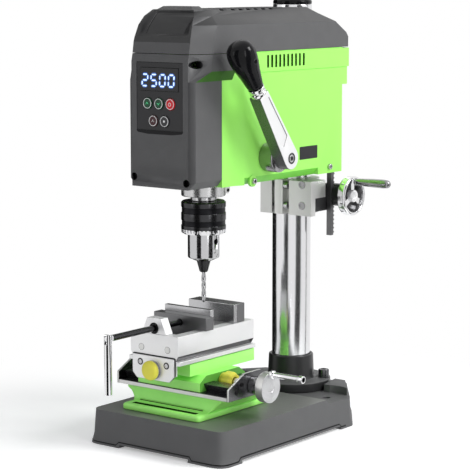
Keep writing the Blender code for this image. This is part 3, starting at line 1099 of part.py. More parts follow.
def build_spindle(quill_axis, spindle_axis, sleeve_axis, jaw_axes):
    """Build the quill, the spindle, the chuck with its jaws, and the drill bit."""
    centre = (0.0, 0.0)
    bore = SPINDLE_RADIUS + FIT
    collar_top = QUILL_BOTTOM - FIT
    quill = Piece("quill", quill_axis, "chrome", rod("Z", centre, QUILL_RADIUS, QUILL_BOTTOM, QUILL_TOP))
    quill.join(box(-QUILL_RACK_HALF_WIDTH, QUILL_RACK_HALF_WIDTH, QUILL_RADIUS / 2,
                   QUILL_RADIUS + QUILL_RACK_PROUD, QUILL_RACK_BOTTOM, QUILL_TOP - QUILL_RACK_PROUD))
    quill.cut(rod("Z", centre, bore, QUILL_BOTTOM - OVERRUN, QUILL_TOP + OVERRUN, SMALL_TURN_STEPS))
    collar_bottom = collar_top - SPINDLE_COLLAR_HEIGHT
    nose = CHUCK_BODY_TOP - SPINDLE_NOSE_LENGTH
    Piece("spindle", spindle_axis, "steel", turned("Z", centre, [
        (SPINDLE_RADIUS, nose + FIT), (SPINDLE_RADIUS, collar_bottom),
        (SPINDLE_COLLAR_RADIUS, collar_bottom), (SPINDLE_COLLAR_RADIUS, collar_top),
        (SPINDLE_RADIUS, collar_top), (SPINDLE_RADIUS, SPINDLE_TOP)], SMALL_TURN_STEPS))
    body = Piece("chuck_body", spindle_axis, "chrome", turned("Z", centre, [
        (CHUCK_NOSE_RADIUS, CHUCK_NOSE_BOTTOM), (CHUCK_BODY_RADIUS, CHUCK_BODY_BOTTOM),
        (CHUCK_BODY_RADIUS, CHUCK_BODY_TOP)]))
    body.cut(rod("Z", centre, bore, nose, CHUCK_BODY_TOP + OVERRUN, SMALL_TURN_STEPS))
    body.cut(rod("Z", centre, CHUCK_BORE, CHUCK_NOSE_BOTTOM - OVERRUN, BIT_TOP + FIT, SMALL_TURN_STEPS))
    body.cut(rod("X", (0.0, KEY_HOLE_Z), KEY_HOLE_RADIUS, CHUCK_BODY_RADIUS - KEY_HOLE_DEPTH,
                 CHUCK_BODY_RADIUS + OVERRUN, SMALL_TURN_STEPS))
    sleeve_bore = CHUCK_BODY_RADIUS + FIT
    lip = CHUCK_BODY_TOP + FIT
    groove = CHUCK_TOOTH_DEPTH / 2
    span = CHUCK_SLEEVE_TOP - CHUCK_SLEEVE_BOTTOM
    profile = [(sleeve_bore, CHUCK_SLEEVE_BOTTOM), (CHUCK_SLEEVE_RADIUS, CHUCK_SLEEVE_BOTTOM)]
    for groove_share in CHUCK_GROOVE_SHARES:
        height = CHUCK_SLEEVE_BOTTOM + groove_share * span
        profile += [(CHUCK_SLEEVE_RADIUS, height - groove), (CHUCK_SLEEVE_RADIUS - groove, height - groove / 2),
                    (CHUCK_SLEEVE_RADIUS - groove, height + groove / 2), (CHUCK_SLEEVE_RADIUS, height + groove)]
    profile += [(CHUCK_SLEEVE_RADIUS, CHUCK_SLEEVE_TOP), (bore, CHUCK_SLEEVE_TOP), (bore, lip),
                (sleeve_bore, lip)]
    sleeve = Piece("chuck_sleeve", sleeve_axis, "black_casting", turned("Z", centre, profile, hollow=True))
    width = pi * CHUCK_SLEEVE_RADIUS / CHUCK_TOOTH_COUNT
    for index in range(CHUCK_TOOTH_COUNT):
        turn = Matrix.Rotation(2 * pi * index / CHUCK_TOOTH_COUNT, 4, "Z")
        gap = box(CHUCK_SLEEVE_RADIUS - CHUCK_TOOTH_DEPTH, CHUCK_SLEEVE_RADIUS + OVERRUN,
                  -width / 2, width / 2, CHUCK_SLEEVE_BOTTOM - OVERRUN,
                  CHUCK_SLEEVE_BOTTOM + CHUCK_TOOTH_DEPTH)
        gap.transform(turn)
        sleeve.cut(gap)
    lean = sin(JAW_SLANT) / cos(JAW_SLANT)
    inner = BIT_RADIUS + FIT
    grip_top = JAW_BOTTOM + JAW_GRIP_LENGTH

    def jaw_plan(outer, low, high, inside):
        """Return a jaw's outline across the chuck, out to a slanted outer face."""
        return inside + [(outer + (high - JAW_BOTTOM) * lean, high), (outer + (low - JAW_BOTTOM) * lean, low)]

    for index, axis in enumerate(jaw_axes):
        turn = Matrix.Rotation(2 * pi * index / JAW_COUNT + pi / JAW_COUNT, 4, "Z")
        low = JAW_BOTTOM - OVERRUN
        high = JAW_TOP + JAW_TRAVEL + FIT
        clear = JAW_WIDTH / 2 + FIT
        slot = prism("Y", jaw_plan(JAW_OUTER + 2 * FIT, low, high, [(0.0, low), (0.0, high)]), -clear, clear)
        slot.transform(turn)
        body.cut(slot)
        jaw = prism("Y", jaw_plan(JAW_OUTER, JAW_BOTTOM, JAW_TOP, [
            (inner, JAW_BOTTOM), (inner, grip_top), (inner + (JAW_TOP - grip_top) * lean, JAW_TOP)]),
            -JAW_WIDTH / 2, JAW_WIDTH / 2)
        jaw.transform(turn)
        Piece(f"chuck_jaw_{index + 1}", axis, "steel", jaw)


def build_bit(spindle_axis):
    """Build the twist bit with its two flutes."""
    steps = BIT_STEPS
    sections = []
    rows = BIT_ROWS
    for row in range(rows + 1):
        height = BIT_TIP + BIT_POINT_LENGTH + (BIT_FLUTE_TOP - BIT_TIP - BIT_POINT_LENGTH) * row / rows
        twist = 2 * pi * BIT_FLUTE_TURNS * row / rows
        outline = []
        for step in range(steps):
            turn = 2 * pi * step / steps
            depth = max(0.0, cos(2 * (turn - twist))) * (BIT_RADIUS - BIT_WEB) / 2
            outline.append(((BIT_RADIUS - depth) * cos(turn), (BIT_RADIUS - depth) * sin(turn)))
        sections.append((height, outline))
    plain = circle((0.0, 0.0), BIT_RADIUS, steps)
    tip = [(x * BIT_WEB / BIT_RADIUS / 2, y * BIT_WEB / BIT_RADIUS / 2) for x, y in plain]
    sections = [(BIT_TIP, tip)] + sections + [(BIT_FLUTE_TOP + BIT_RADIUS, plain), (BIT_TOP, plain)]
    Piece("drill_bit", spindle_axis, "steel", loft("Z", sections))


# Feed lever

def build_lever(lever_axis):
    """Build the feed pinion, the lever arm and the grip."""
    line = (LEVER_Y, LEVER_Z)
    pinion = Piece("feed_pinion", lever_axis, "steel",
                   rod("X", line, FEED_SHAFT_RADIUS, -FEED_SHAFT_REACH, HEAD_HALF_WIDTH,
                       SMALL_TURN_STEPS))
    pinion.join(prism("X", gear_outline(line, FEED_PINION_RADIUS, FEED_PINION_ROOT, FEED_PINION_TEETH),
                      -FEED_PINION_HALF_WIDTH, FEED_PINION_HALF_WIDTH))
    hub_start = HEAD_HALF_WIDTH + FIT
    arm_end = HUB_END + ARM_THICKNESS
    lever = Piece("feed_lever", lever_axis, "white_casting",
                  rod("X", line, HUB_RADIUS, hub_start, HUB_END))
    root = [(-ARM_ROOT_RADIUS * cos(pi * step / (2 * ROUND_STEPS)),
             -ARM_ROOT_RADIUS * sin(pi * step / (2 * ROUND_STEPS))) for step in range(2 * ROUND_STEPS + 1)]
    blade = [(-u, v) for u, v in root] + [(-ARM_TIP_RADIUS, ARM_LENGTH), (ARM_TIP_RADIUS, ARM_LENGTH)]
    blade = [(-u, v) for u, v in blade]
    tilt = Matrix.Translation(lever_axis.place) @ Matrix.Rotation(LEVER_TILT, 4, "X")
    arm = prism("X", blade, HUB_END - OVERRUN / 2, arm_end)
    arm.transform(tilt)
    lever.join(arm)
    middle = (0.0, 0.0)
    place = Matrix.Translation(lever_axis.place + Vector(((HUB_END + arm_end) / 2, 0.0, 0.0)))
    place = place @ Matrix.Rotation(LEVER_TILT, 4, "X")
    collar_foot = ARM_LENGTH + FIT
    collar = turned("Z", middle, [(COLLAR_RADIUS, collar_foot),
                                  (COLLAR_RADIUS, collar_foot + COLLAR_LENGTH)], SMALL_TURN_STEPS)
    collar.transform(place)
    Piece("lever_collar", lever_axis, "chrome", collar)
    end = GRIP_START + GRIP_LENGTH
    profile = [(0.0, GRIP_START)]
    profile += [(GRIP_FOOT_RADIUS + (GRIP_RADIUS - GRIP_FOOT_RADIUS) * wide_share,
                 GRIP_START + GRIP_LENGTH * along_share) for wide_share, along_share in GRIP_SHARES]
    profile += [(GRIP_RADIUS / 2, end), (0.0, end)]
    grip = turned("Z", middle, profile, SMALL_TURN_STEPS)
    grip.transform(place)
    Piece("lever_grip", lever_axis, "black_plastic", grip)


# Cross-slide vise

def build_vise_base(machine):
    """Build the vise's foot, the X rail on it and the rail's end plates."""
    seat = BASE_HEIGHT + FIT
    flange_top = seat + VISE_FLANGE_THICKNESS
    top = RAIL_BOTTOM - FIT
    base = Piece("vise_base", machine, "green_paint",
                 box(VISE_BASE_X - VISE_FLANGE_HALF_LENGTH, VISE_BASE_X + VISE_FLANGE_HALF_LENGTH,
                     VISE_Y - VISE_FLANGE_HALF_DEPTH, VISE_Y + VISE_FLANGE_HALF_DEPTH, seat, flange_top))
    slope = VISE_PEDESTAL_SPREAD

    def pedestal(offset):
        """Return the pedestal's plan, deeper by offset."""
        return [(VISE_BASE_X - VISE_PEDESTAL_HALF_LENGTH - offset, VISE_Y - VISE_PEDESTAL_HALF_DEPTH - offset),
                (VISE_BASE_X + VISE_PEDESTAL_HALF_LENGTH + offset, VISE_Y - VISE_PEDESTAL_HALF_DEPTH - offset),
                (VISE_BASE_X + VISE_PEDESTAL_HALF_LENGTH + offset, VISE_Y + VISE_PEDESTAL_HALF_DEPTH + offset),
                (VISE_BASE_X - VISE_PEDESTAL_HALF_LENGTH - offset, VISE_Y + VISE_PEDESTAL_HALF_DEPTH + offset)]

    inner = VISE_FLANGE_HALF_LENGTH - VISE_PEDESTAL_HALF_LENGTH
    base.join(loft("Z", [(seat + VISE_FLANGE_THICKNESS / 2, pedestal(inner)),
                         (flange_top, pedestal(inner)),
                         (top - slope / 2, pedestal(slope)), (top, pedestal(slope))]))
    for side in (-1, 1):
        middle = VISE_Y + side * (VISE_FLANGE_HALF_DEPTH - VISE_SLOT_SETBACK)
        slot = rounded([(VISE_BASE_X - VISE_SLOT_HALF_LENGTH, middle - VISE_SLOT_WIDTH / 2),
                        (VISE_BASE_X + VISE_SLOT_HALF_LENGTH, middle - VISE_SLOT_WIDTH / 2),
                        (VISE_BASE_X + VISE_SLOT_HALF_LENGTH, middle + VISE_SLOT_WIDTH / 2),
                        (VISE_BASE_X - VISE_SLOT_HALF_LENGTH, middle + VISE_SLOT_WIDTH / 2)],
                       VISE_SLOT_WIDTH / 2)
        base.cut(prism("Z", slot, seat - OVERRUN, flange_top + OVERRUN))
    left = VISE_BASE_X - RAIL_HALF_LENGTH
    right = VISE_BASE_X + RAIL_HALF_LENGTH
    plate_top = RAIL_BOTTOM + RAIL_PLATE_THICKNESS
    profile = mirrored([(RAIL_HALF_DEPTH, RAIL_BOTTOM), (RAIL_HALF_DEPTH, plate_top),
                        (RAIL_DOVETAIL_ROOT, plate_top), (RAIL_DOVETAIL_TOP, RAIL_TOP),
                        (RAIL_CHANNEL_HALF_DEPTH, RAIL_TOP), (RAIL_CHANNEL_HALF_DEPTH, RAIL_CHANNEL_FLOOR)])
    Piece("vise_x_rail", machine, "steel", prism("X", shifted(profile, VISE_Y), left, right))
    plate = shifted(mirrored([(RAIL_HALF_DEPTH, RAIL_BOTTOM), (RAIL_HALF_DEPTH, RAIL_TOP),
                              (RAIL_END_TOP_HALF_DEPTH, RAIL_END_HEIGHT)]), VISE_Y)
    for name, low, high in (("rail_end_left", left - FIT - RAIL_END_THICKNESS, left - FIT),
                            ("rail_end_right", right + FIT, right + FIT + RAIL_END_THICKNESS)):
        end = Piece(name, machine, "steel", prism("X", plate, low, high))
        end.cut(rod("X", (VISE_Y, X_SCREW_Z), X_SCREW_RADIUS + FIT, low - OVERRUN, high + OVERRUN,
                    SMALL_TURN_STEPS))


def build_x_screw(screw_axis, crank_axis, saddle_axis):
    """Build the X lead screw with its handwheel and crank, and the saddle's clamp knob."""
    line = (VISE_Y, X_SCREW_Z)
    left = VISE_BASE_X - RAIL_HALF_LENGTH - FIT - RAIL_END_THICKNESS
    hub_start = VISE_BASE_X + RAIL_HALF_LENGTH + 2 * FIT + RAIL_END_THICKNESS
    wheel = Piece("x_handwheel", screw_axis, "steel", turned("X", line, [
        (X_SCREW_RADIUS, left), (X_SCREW_RADIUS, hub_start), (X_HUB_RADIUS, hub_start),
        (X_HUB_RADIUS, X_WHEEL_START), (X_WHEEL_RADIUS, X_WHEEL_START), (X_WHEEL_RADIUS, X_WHEEL_END)]))
    pin = (crank_axis.place.y, crank_axis.place.z)
    wheel.join(rod("X", pin, X_CRANK_BOSS_RADIUS, X_WHEEL_START, X_WHEEL_END, SMALL_TURN_STEPS))
    start = X_WHEEL_END + FIT
    end = start + X_CRANK_LENGTH
    Piece("x_crank_handle", crank_axis, "steel", turned("X", pin, [
        (X_CRANK_RADIUS, start), (X_CRANK_RADIUS, end),
        (X_CRANK_RADIUS / 2, end), (X_CRANK_RADIUS / 2, end - X_CRANK_RADIUS),
        (0.0, end - X_CRANK_RADIUS)], SMALL_TURN_STEPS))
    dial_start = VISE_X + SADDLE_HALF_LENGTH + FIT
    knob = Piece("saddle_knob", saddle_axis, "yellow_plastic", prism(
        "X", gear_outline(line, X_DIAL_RADIUS, X_DIAL_RADIUS - X_DIAL_LOBE_DEPTH, X_DIAL_LOBES),
        dial_start, dial_start + X_DIAL_LENGTH))
    knob.cut(rod("X", line, X_SCREW_RADIUS + FIT, dial_start - OVERRUN,
                 dial_start + X_DIAL_LENGTH + OVERRUN, SMALL_TURN_STEPS))


def build_saddle(saddle_axis):
    """Build the green saddle that rides on the X rail and carries the Y slide."""
    left = VISE_X - SADDLE_HALF_LENGTH
    right = VISE_X + SADDLE_HALF_LENGTH
    plate_top = RAIL_BOTTOM + RAIL_PLATE_THICKNESS
    skirt = shifted(mirrored([(SADDLE_HALF_DEPTH, plate_top + FIT), (SADDLE_HALF_DEPTH, SADDLE_SKIRT_TOP),
                              (SADDLE_NECK_HALF_DEPTH, SADDLE_NECK_TOP + FIT)]), VISE_Y)
    saddle = Piece("vise_saddle", saddle_axis, "green_paint", prism("X", skirt, left, right))
    half = SADDLE_TOP_HALF_WIDTH
    saddle.join(box(VISE_X - half, VISE_X + half, SADDLE_TOP_FRONT, SADDLE_TOP_REAR,
                    SADDLE_NECK_TOP, SADDLE_TOP))
    tenon = mirrored([(SADDLE_TENON_ROOT_HALF_WIDTH, SADDLE_TOP - 2 * FIT),
                      (SADDLE_TENON_ROOT_HALF_WIDTH, SADDLE_TOP), (SADDLE_TENON_HALF_WIDTH, SADDLE_TENON_TOP)])
    saddle.join(prism("Y", shifted(tenon, VISE_X), SADDLE_TOP_FRONT, SADDLE_TOP_REAR))
    groove = mirrored([(RAIL_DOVETAIL_ROOT + FIT, plate_top - OVERRUN), (RAIL_DOVETAIL_ROOT + FIT, plate_top),
                       (RAIL_DOVETAIL_TOP + FIT, RAIL_TOP), (RAIL_DOVETAIL_TOP + FIT, RAIL_TOP + FIT)])
    saddle.cut(prism("X", shifted(groove, VISE_Y), left - OVERRUN, right + OVERRUN))
    nut = RAIL_CHANNEL_HALF_DEPTH - FIT
    saddle.join(box(left, right, VISE_Y - nut, VISE_Y + nut, RAIL_CHANNEL_FLOOR + FIT, SADDLE_SKIRT_TOP))
    saddle.cut(rod("X", (VISE_Y, X_SCREW_Z), X_SCREW_RADIUS + FIT, left - OVERRUN, right + OVERRUN,
                   SMALL_TURN_STEPS))
    saddle.cut(rod("Y", (VISE_X, KNOB_Z), KNOB_SHAFT_RADIUS + FIT, SADDLE_TOP_FRONT - OVERRUN,
                   SADDLE_TOP_REAR + OVERRUN, SMALL_TURN_STEPS))


def build_slide(slide_axis, knob_axis):
    """Build the Y slide, its front plate and its yellow knob with the lead screw."""
    profile = mirrored([(SLIDE_STRIP_HALF_WIDTH, SLIDE_BOTTOM), (SLIDE_STRIP_HALF_WIDTH, SLIDE_STRIP_TOP),
                        (SLIDE_GROOVE_HALF_WIDTH, SLIDE_STRIP_TOP), (SLIDE_HALF_WIDTH, SLIDE_GROOVE_TOP),
                        (SLIDE_HALF_WIDTH, SLIDE_TOP)])
    slide = Piece("vise_slide", slide_axis, "white_casting",
                  prism("Y", shifted(profile, VISE_X), SLIDE_FRONT, SLIDE_REAR))
    half = SLIDE_PLATE_HALF_WIDTH
    slide.join(box(VISE_X - half, VISE_X + half, SLIDE_FRONT, SLIDE_FRONT + 2 * SLIDE_PLATE_THICKNESS,
                   SLIDE_PLATE_SIDE_BOTTOM, SLIDE_GROOVE_TOP))
    groove = mirrored([(SADDLE_TENON_ROOT_HALF_WIDTH + FIT, SLIDE_BOTTOM - OVERRUN),
                       (SADDLE_TENON_ROOT_HALF_WIDTH + FIT, SADDLE_TOP),
                       (SADDLE_TENON_HALF_WIDTH + FIT, SADDLE_TENON_TOP),
                       (SADDLE_TENON_HALF_WIDTH + FIT, SADDLE_TENON_TOP + FIT)])
    slide.cut(prism("Y", shifted(groove, VISE_X), SLIDE_FRONT + 2 * SLIDE_PLATE_THICKNESS,
                    SLIDE_REAR + OVERRUN))
    slide.cut(box(VISE_X - SLIDE_CHANNEL_HALF_WIDTH, VISE_X + SLIDE_CHANNEL_HALF_WIDTH,
                  SUPPORT_REAR, FIXED_JAW_FRONT + JAW_PLATE_THICKNESS, SLIDE_CHANNEL_FLOOR,
                  SLIDE_TOP + OVERRUN))
    slide.cut(rod("Y", (VISE_X, KNOB_Z), KNOB_SHAFT_RADIUS + FIT, SLIDE_FRONT - OVERRUN,
                  SLIDE_FRONT + 2 * SLIDE_PLATE_THICKNESS + OVERRUN, SMALL_TURN_STEPS))
    face = SLIDE_FRONT - FIT
    plate = shifted(mirrored([(half - SLIDE_PLATE_SIDE_BOTTOM + SLIDE_PLATE_BOTTOM, SLIDE_PLATE_BOTTOM),
                              (half, SLIDE_PLATE_SIDE_BOTTOM), (half, SLIDE_PLATE_TOP)]), VISE_X)
    cover = Piece("slide_front_plate", slide_axis, "white_casting",
                  prism("Y", plate, face - SLIDE_PLATE_THICKNESS, face))
    cover.cut(rod("Y", (VISE_X, KNOB_Z), KNOB_SHAFT_RADIUS + FIT, face - SLIDE_PLATE_THICKNESS - OVERRUN,
                  face + OVERRUN, SMALL_TURN_STEPS))
    back = face - SLIDE_PLATE_THICKNESS - FIT
    Piece("slide_knob", knob_axis, "yellow_plastic", turned("Y", (VISE_X, KNOB_Z), [
        (KNOB_RADIUS - KNOB_CHAMFER, back - KNOB_LENGTH),
        (KNOB_RADIUS, back - KNOB_LENGTH + KNOB_CHAMFER),
        (KNOB_RADIUS, back), (KNOB_SHAFT_RADIUS, back),
        (KNOB_SHAFT_RADIUS, back + KNOB_SHAFT_LENGTH)], SMALL_TURN_STEPS))


def build_jaws(slide_axis, jaw_axis, screw_axis, handle_axis):
    """Build the fixed and moving jaws, the clamping screw, its support and its handle."""
    seat = SLIDE_TOP + FIT
    support = Piece("screw_support", slide_axis, "white_casting", prism("Y", shifted(mirrored([
        (SUPPORT_FOOT_HALF_WIDTH, seat), (SUPPORT_TOP_HALF_WIDTH, SUPPORT_TOP_Z)]), VISE_X),
        SUPPORT_FRONT, SUPPORT_REAR))
    line = (VISE_X, JAW_SCREW_Z)
    support.cut(rod("Y", line, JAW_SCREW_RADIUS + FIT, SUPPORT_FRONT - OVERRUN, SUPPORT_REAR + OVERRUN,
                    SMALL_TURN_STEPS))
    left = VISE_X - JAW_HALF_WIDTH
    right = VISE_X + JAW_HALF_WIDTH
    plate_foot = JAW_TOP_Z - 2 * JAW_PLATE_THICKNESS
    fixed_seat = FIXED_JAW_FRONT + JAW_PLATE_THICKNESS + FIT
    Piece("fixed_jaw", slide_axis, "black_casting",
          box(left, right, fixed_seat, FIXED_JAW_REAR, seat, JAW_TOP_Z))
    Piece("fixed_jaw_plate", slide_axis, "steel",
          box(left, right, FIXED_JAW_FRONT, FIXED_JAW_FRONT + JAW_PLATE_THICKNESS, seat, JAW_TOP_Z))
    moving_seat = MOVING_JAW_REAR - JAW_PLATE_THICKNESS - FIT
    moving = Piece("moving_jaw", jaw_axis, "black_casting",
                   box(left - JAW_LIP, right + JAW_LIP, MOVING_JAW_FRONT, moving_seat, seat, plate_foot + JAW_LIP))
    keel = SLIDE_CHANNEL_HALF_WIDTH - FIT
    moving.join(box(VISE_X - keel, VISE_X + keel, MOVING_JAW_FRONT, moving_seat,
                    SLIDE_CHANNEL_FLOOR + FIT, plate_foot))
    moving.cut(rod("Y", line, JAW_SCREW_RADIUS + FIT, MOVING_JAW_FRONT - OVERRUN, JAW_SCREW_END + FIT,
                   SMALL_TURN_STEPS))
    Piece("moving_jaw_plate", jaw_axis, "steel",
          box(left, right, MOVING_JAW_REAR - JAW_PLATE_THICKNESS, MOVING_JAW_REAR, seat, JAW_TOP_Z))
    screw = Piece("jaw_screw", screw_axis, "steel",
                  rod("Y", line, JAW_SCREW_RADIUS, JAW_SCREW_FRONT, JAW_SCREW_END, SMALL_TURN_STEPS))
    pivot_y = handle_axis.place.y
    tongue = JAW_HANDLE_TONGUE / 2
    reach = JAW_HANDLE_RADIUS - FIT
    screw.join(rod("X", (pivot_y, JAW_SCREW_Z), reach, VISE_X - tongue, VISE_X + tongue, SMALL_TURN_STEPS))
    screw.join(box(VISE_X - tongue, VISE_X + tongue, pivot_y, JAW_SCREW_FRONT + tongue,
                   JAW_SCREW_Z - JAW_SCREW_RADIUS + FIT, JAW_SCREW_Z + JAW_SCREW_RADIUS - FIT))
    screw.cut(rod("X", (pivot_y, JAW_SCREW_Z), JAW_HANDLE_PIN_RADIUS + FIT, VISE_X - tongue - FIT,
                  VISE_X + tongue + FIT, SMALL_TURN_STEPS))
    handle = Piece("jaw_handle", handle_axis, "steel", turned("Z", (VISE_X, pivot_y), [
        (JAW_HANDLE_RADIUS - FIT, JAW_SCREW_Z - JAW_HANDLE_LENGTH),
        (JAW_HANDLE_RADIUS, JAW_SCREW_Z - JAW_HANDLE_LENGTH + FIT),
        (JAW_HANDLE_RADIUS, JAW_SCREW_Z + JAW_HANDLE_RADIUS)], SMALL_TURN_STEPS))
    fork = tongue + FIT
    handle.cut(box(VISE_X - fork, VISE_X + fork, pivot_y - JAW_HANDLE_RADIUS - OVERRUN,
                   pivot_y + JAW_HANDLE_RADIUS + OVERRUN, JAW_SCREW_Z - JAW_HANDLE_EYE,
                   JAW_SCREW_Z + JAW_HANDLE_RADIUS + OVERRUN))
    handle.join(rod("X", (pivot_y, JAW_SCREW_Z), JAW_HANDLE_PIN_RADIUS, VISE_X - fork - FIT,
                    VISE_X + fork + FIT, SMALL_TURN_STEPS))


def build():
    """Build the whole drill press on its joint axes."""
    for old in list(bpy.data.objects):
        bpy.data.objects.remove(old)
    machine = Axis("machine", (0.0, 0.0, 0.0))
    build_base(machine)
    bracket = Axis("axis_bracket_swivel", (0.0, COLUMN_Y, BRACKET_BOTTOM), machine)
    build_bracket(bracket)
    head = Axis("axis_head_lift", (0.0, COLUMN_Y, HEAD_BOTTOM), bracket)
    wheel = Axis("axis_lift_wheel", (HOUSING_RIGHT, PINION_Y, PINION_Z), bracket)
    crank = Axis("axis_lift_crank", (HOUSING_RIGHT, PINION_Y, PINION_Z + LIFT_CRANK_OFFSET), wheel)
    build_lift_drive(wheel, crank, head)
    build_head(head)
    cover, panel = build_covers(head)
    build_lid(head)
    upper, lower = BUTTON_ROW_Z
    button_places = [(BUTTON_UPPER_X - BUTTON_PITCH, upper), (BUTTON_UPPER_X, upper),
                     (BUTTON_UPPER_X + BUTTON_PITCH, upper), (BUTTON_UPPER_X - BUTTON_PITCH / 2, lower),
                     (BUTTON_UPPER_X + BUTTON_PITCH / 2, lower)]
    build_buttons([Axis(f"axis_button_{index + 1}", (x, COVER_FRONT, z), head)
                   for index, (x, z) in enumerate(button_places)], cover, panel)
    motor = Axis("axis_motor", (0.0, MOTOR_Y, MOTOR_TOP), head)
    pulley = Axis("axis_spindle_pulley", (0.0, 0.0, PULLEY_BOTTOM), head)
    build_drive(head, motor, pulley)
    quill = Axis("axis_quill", (0.0, 0.0, QUILL_BOTTOM), head)
    spindle = Axis("axis_spindle", (0.0, 0.0, QUILL_BOTTOM), quill)
    sleeve = Axis("axis_chuck_sleeve", (0.0, 0.0, CHUCK_SLEEVE_BOTTOM), spindle)
    jaws = [Axis(f"axis_chuck_jaw_{index + 1}", (0.0, 0.0, JAW_BOTTOM), spindle)
            for index in range(JAW_COUNT)]
    build_spindle(quill, spindle, sleeve, jaws)
    build_bit(spindle)
    lever = Axis("axis_feed_lever", (0.0, LEVER_Y, LEVER_Z), head)
    build_lever(lever)
    build_vise_base(machine)
    x_screw = Axis("axis_x_screw", (X_WHEEL_START, VISE_Y, X_SCREW_Z), machine)
    x_crank = Axis("axis_x_crank", (X_WHEEL_END, VISE_Y, X_SCREW_Z + X_CRANK_OFFSET), x_screw)
    saddle = Axis("axis_x_slide", (VISE_X, VISE_Y, SADDLE_SKIRT_TOP), machine)
    build_x_screw(x_screw, x_crank, saddle)
    build_saddle(saddle)
    slide = Axis("axis_y_slide", (VISE_X, 0.0, SLIDE_BOTTOM), saddle)
    knob = Axis("axis_slide_knob", (VISE_X, SLIDE_FRONT, KNOB_Z), slide)
    build_slide(slide, knob)
    jaw = Axis("axis_vise_jaw", (VISE_X, MOVING_JAW_FRONT, SLIDE_TOP), slide)
    jaw_screw = Axis("axis_jaw_screw", (VISE_X, JAW_SCREW_FRONT, JAW_SCREW_Z), jaw)
    handle = Axis("axis_jaw_handle", (VISE_X, JAW_SCREW_FRONT - JAW_HANDLE_EYE, JAW_SCREW_Z), jaw_screw)
    build_jaws(slide, jaw, jaw_screw, handle)


build()
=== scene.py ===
"""Looks of a benchtop drill press with a cross-slide vise.

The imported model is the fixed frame. Every sub-assembly below is a class that
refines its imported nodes, adds the small pieces that the solids leave out, and
dresses them all with procedural finishes. Lengths are in millimetres in the
machine's own axes (spindle on the Z axis, floor at zero, operator at -Y) and
are turned into the frame's metres by one function.
"""

from __future__ import annotations

import json
import logging
import math
from dataclasses import dataclass, field
from enum import Enum
from typing import Callable, Iterable, Sequence

import bmesh
import bpy
from mathutils import Matrix, Vector


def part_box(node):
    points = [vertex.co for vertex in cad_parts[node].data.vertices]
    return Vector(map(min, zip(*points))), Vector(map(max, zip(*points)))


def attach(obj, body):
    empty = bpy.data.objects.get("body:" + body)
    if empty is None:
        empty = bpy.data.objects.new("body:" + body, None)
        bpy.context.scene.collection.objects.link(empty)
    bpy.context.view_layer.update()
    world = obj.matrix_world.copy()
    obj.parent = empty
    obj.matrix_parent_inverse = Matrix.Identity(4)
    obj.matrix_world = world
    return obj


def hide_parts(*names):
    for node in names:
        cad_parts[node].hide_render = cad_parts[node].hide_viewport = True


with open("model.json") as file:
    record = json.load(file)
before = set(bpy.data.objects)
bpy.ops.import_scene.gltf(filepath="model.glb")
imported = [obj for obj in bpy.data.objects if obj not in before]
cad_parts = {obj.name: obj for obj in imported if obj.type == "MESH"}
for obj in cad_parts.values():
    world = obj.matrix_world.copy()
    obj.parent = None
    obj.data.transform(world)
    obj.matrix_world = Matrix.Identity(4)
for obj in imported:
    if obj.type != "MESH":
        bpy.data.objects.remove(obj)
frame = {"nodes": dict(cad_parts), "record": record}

LOG = logging.getLogger("drill_press")

SPINDLE_PLACE = Vector((-0.0217, -0.0379, 0.0))
MM = 0.001

Point2 = tuple[float, float]
Point3 = tuple[float, float, float]
Colour = tuple[float, float, float]


def place(x: float, y: float, z: float) -> Vector:
    """Turn a point in the machine's millimetres into the frame's metres.

    Args:
        x: Distance to the operator's right of the spindle axis.
        y: Distance behind the spindle axis.
        z: Height above the floor.

    Returns:
        The point in the frame.
    """
    return Vector((x, y, z)) * MM + SPINDLE_PLACE


class Axis(Enum):
    """The machine axis that a turned or extruded shape follows."""

    X = "X"
    Y = "Y"
    Z = "Z"

    def point(self, u: float, v: float, w: float) -> Point3:
        """Return the machine point at w along the axis and u, v across it."""
        return {"X": (w, u, v), "Y": (u, w, v), "Z": (u, v, w)}[self.value]

    def facing(self) -> Point3:
        """Return the turn that makes +Z look along +X, -Y or +Z."""
        quarter = math.pi / 2
        return {"X": (0.0, quarter, 0.0), "Y": (quarter, 0.0, 0.0), "Z": (0.0, 0.0, 0.0)}[self.value]


# Finishes


def add_node(tree: bpy.types.NodeTree, kind: str, values: dict[str | int, object] | None = None,
             **settings: object) -> bpy.types.Node:
    """Add a node to a tree and set it up.

    Args:
        tree: Tree that receives the node.
        kind: Type name of the node.
        values: Values of its input sockets, by name or by index.
        **settings: Values of its own properties, set first.

    Returns:
        The node.
    """
    made = tree.nodes.new(kind)
    for key, value in settings.items():
        setattr(made, key, value)
    for key, value in (values or {}).items():
        made.inputs[key].default_value = value
    return made


def add_ramp(tree: bpy.types.NodeTree, *stops: tuple[float, Sequence[float]]) -> bpy.types.Node:
    """Add a colour ramp with two stops.

    Args:
        tree: Tree that receives the ramp.
        *stops: Place and colour of the first and of the last stop.

    Returns:
        The ramp's node.
    """
    ramp = tree.nodes.new("ShaderNodeValToRGB")
    for element, (spot, colour) in zip(ramp.color_ramp.elements, stops):
        element.position = spot
        element.color = (*colour, 1.0)
    return ramp


def wire(source: bpy.types.Node, output: str | int, target: bpy.types.Node, into: str | int) -> None:
    """Join an output of one node to an input of another.

    Args:
        source: Node that gives the value.
        output: Its output, by name or by index.
        target: Node that takes the value.
        into: Its input, by name or by index.
    """
    source.id_data.links.new(source.outputs[output], target.inputs[into])


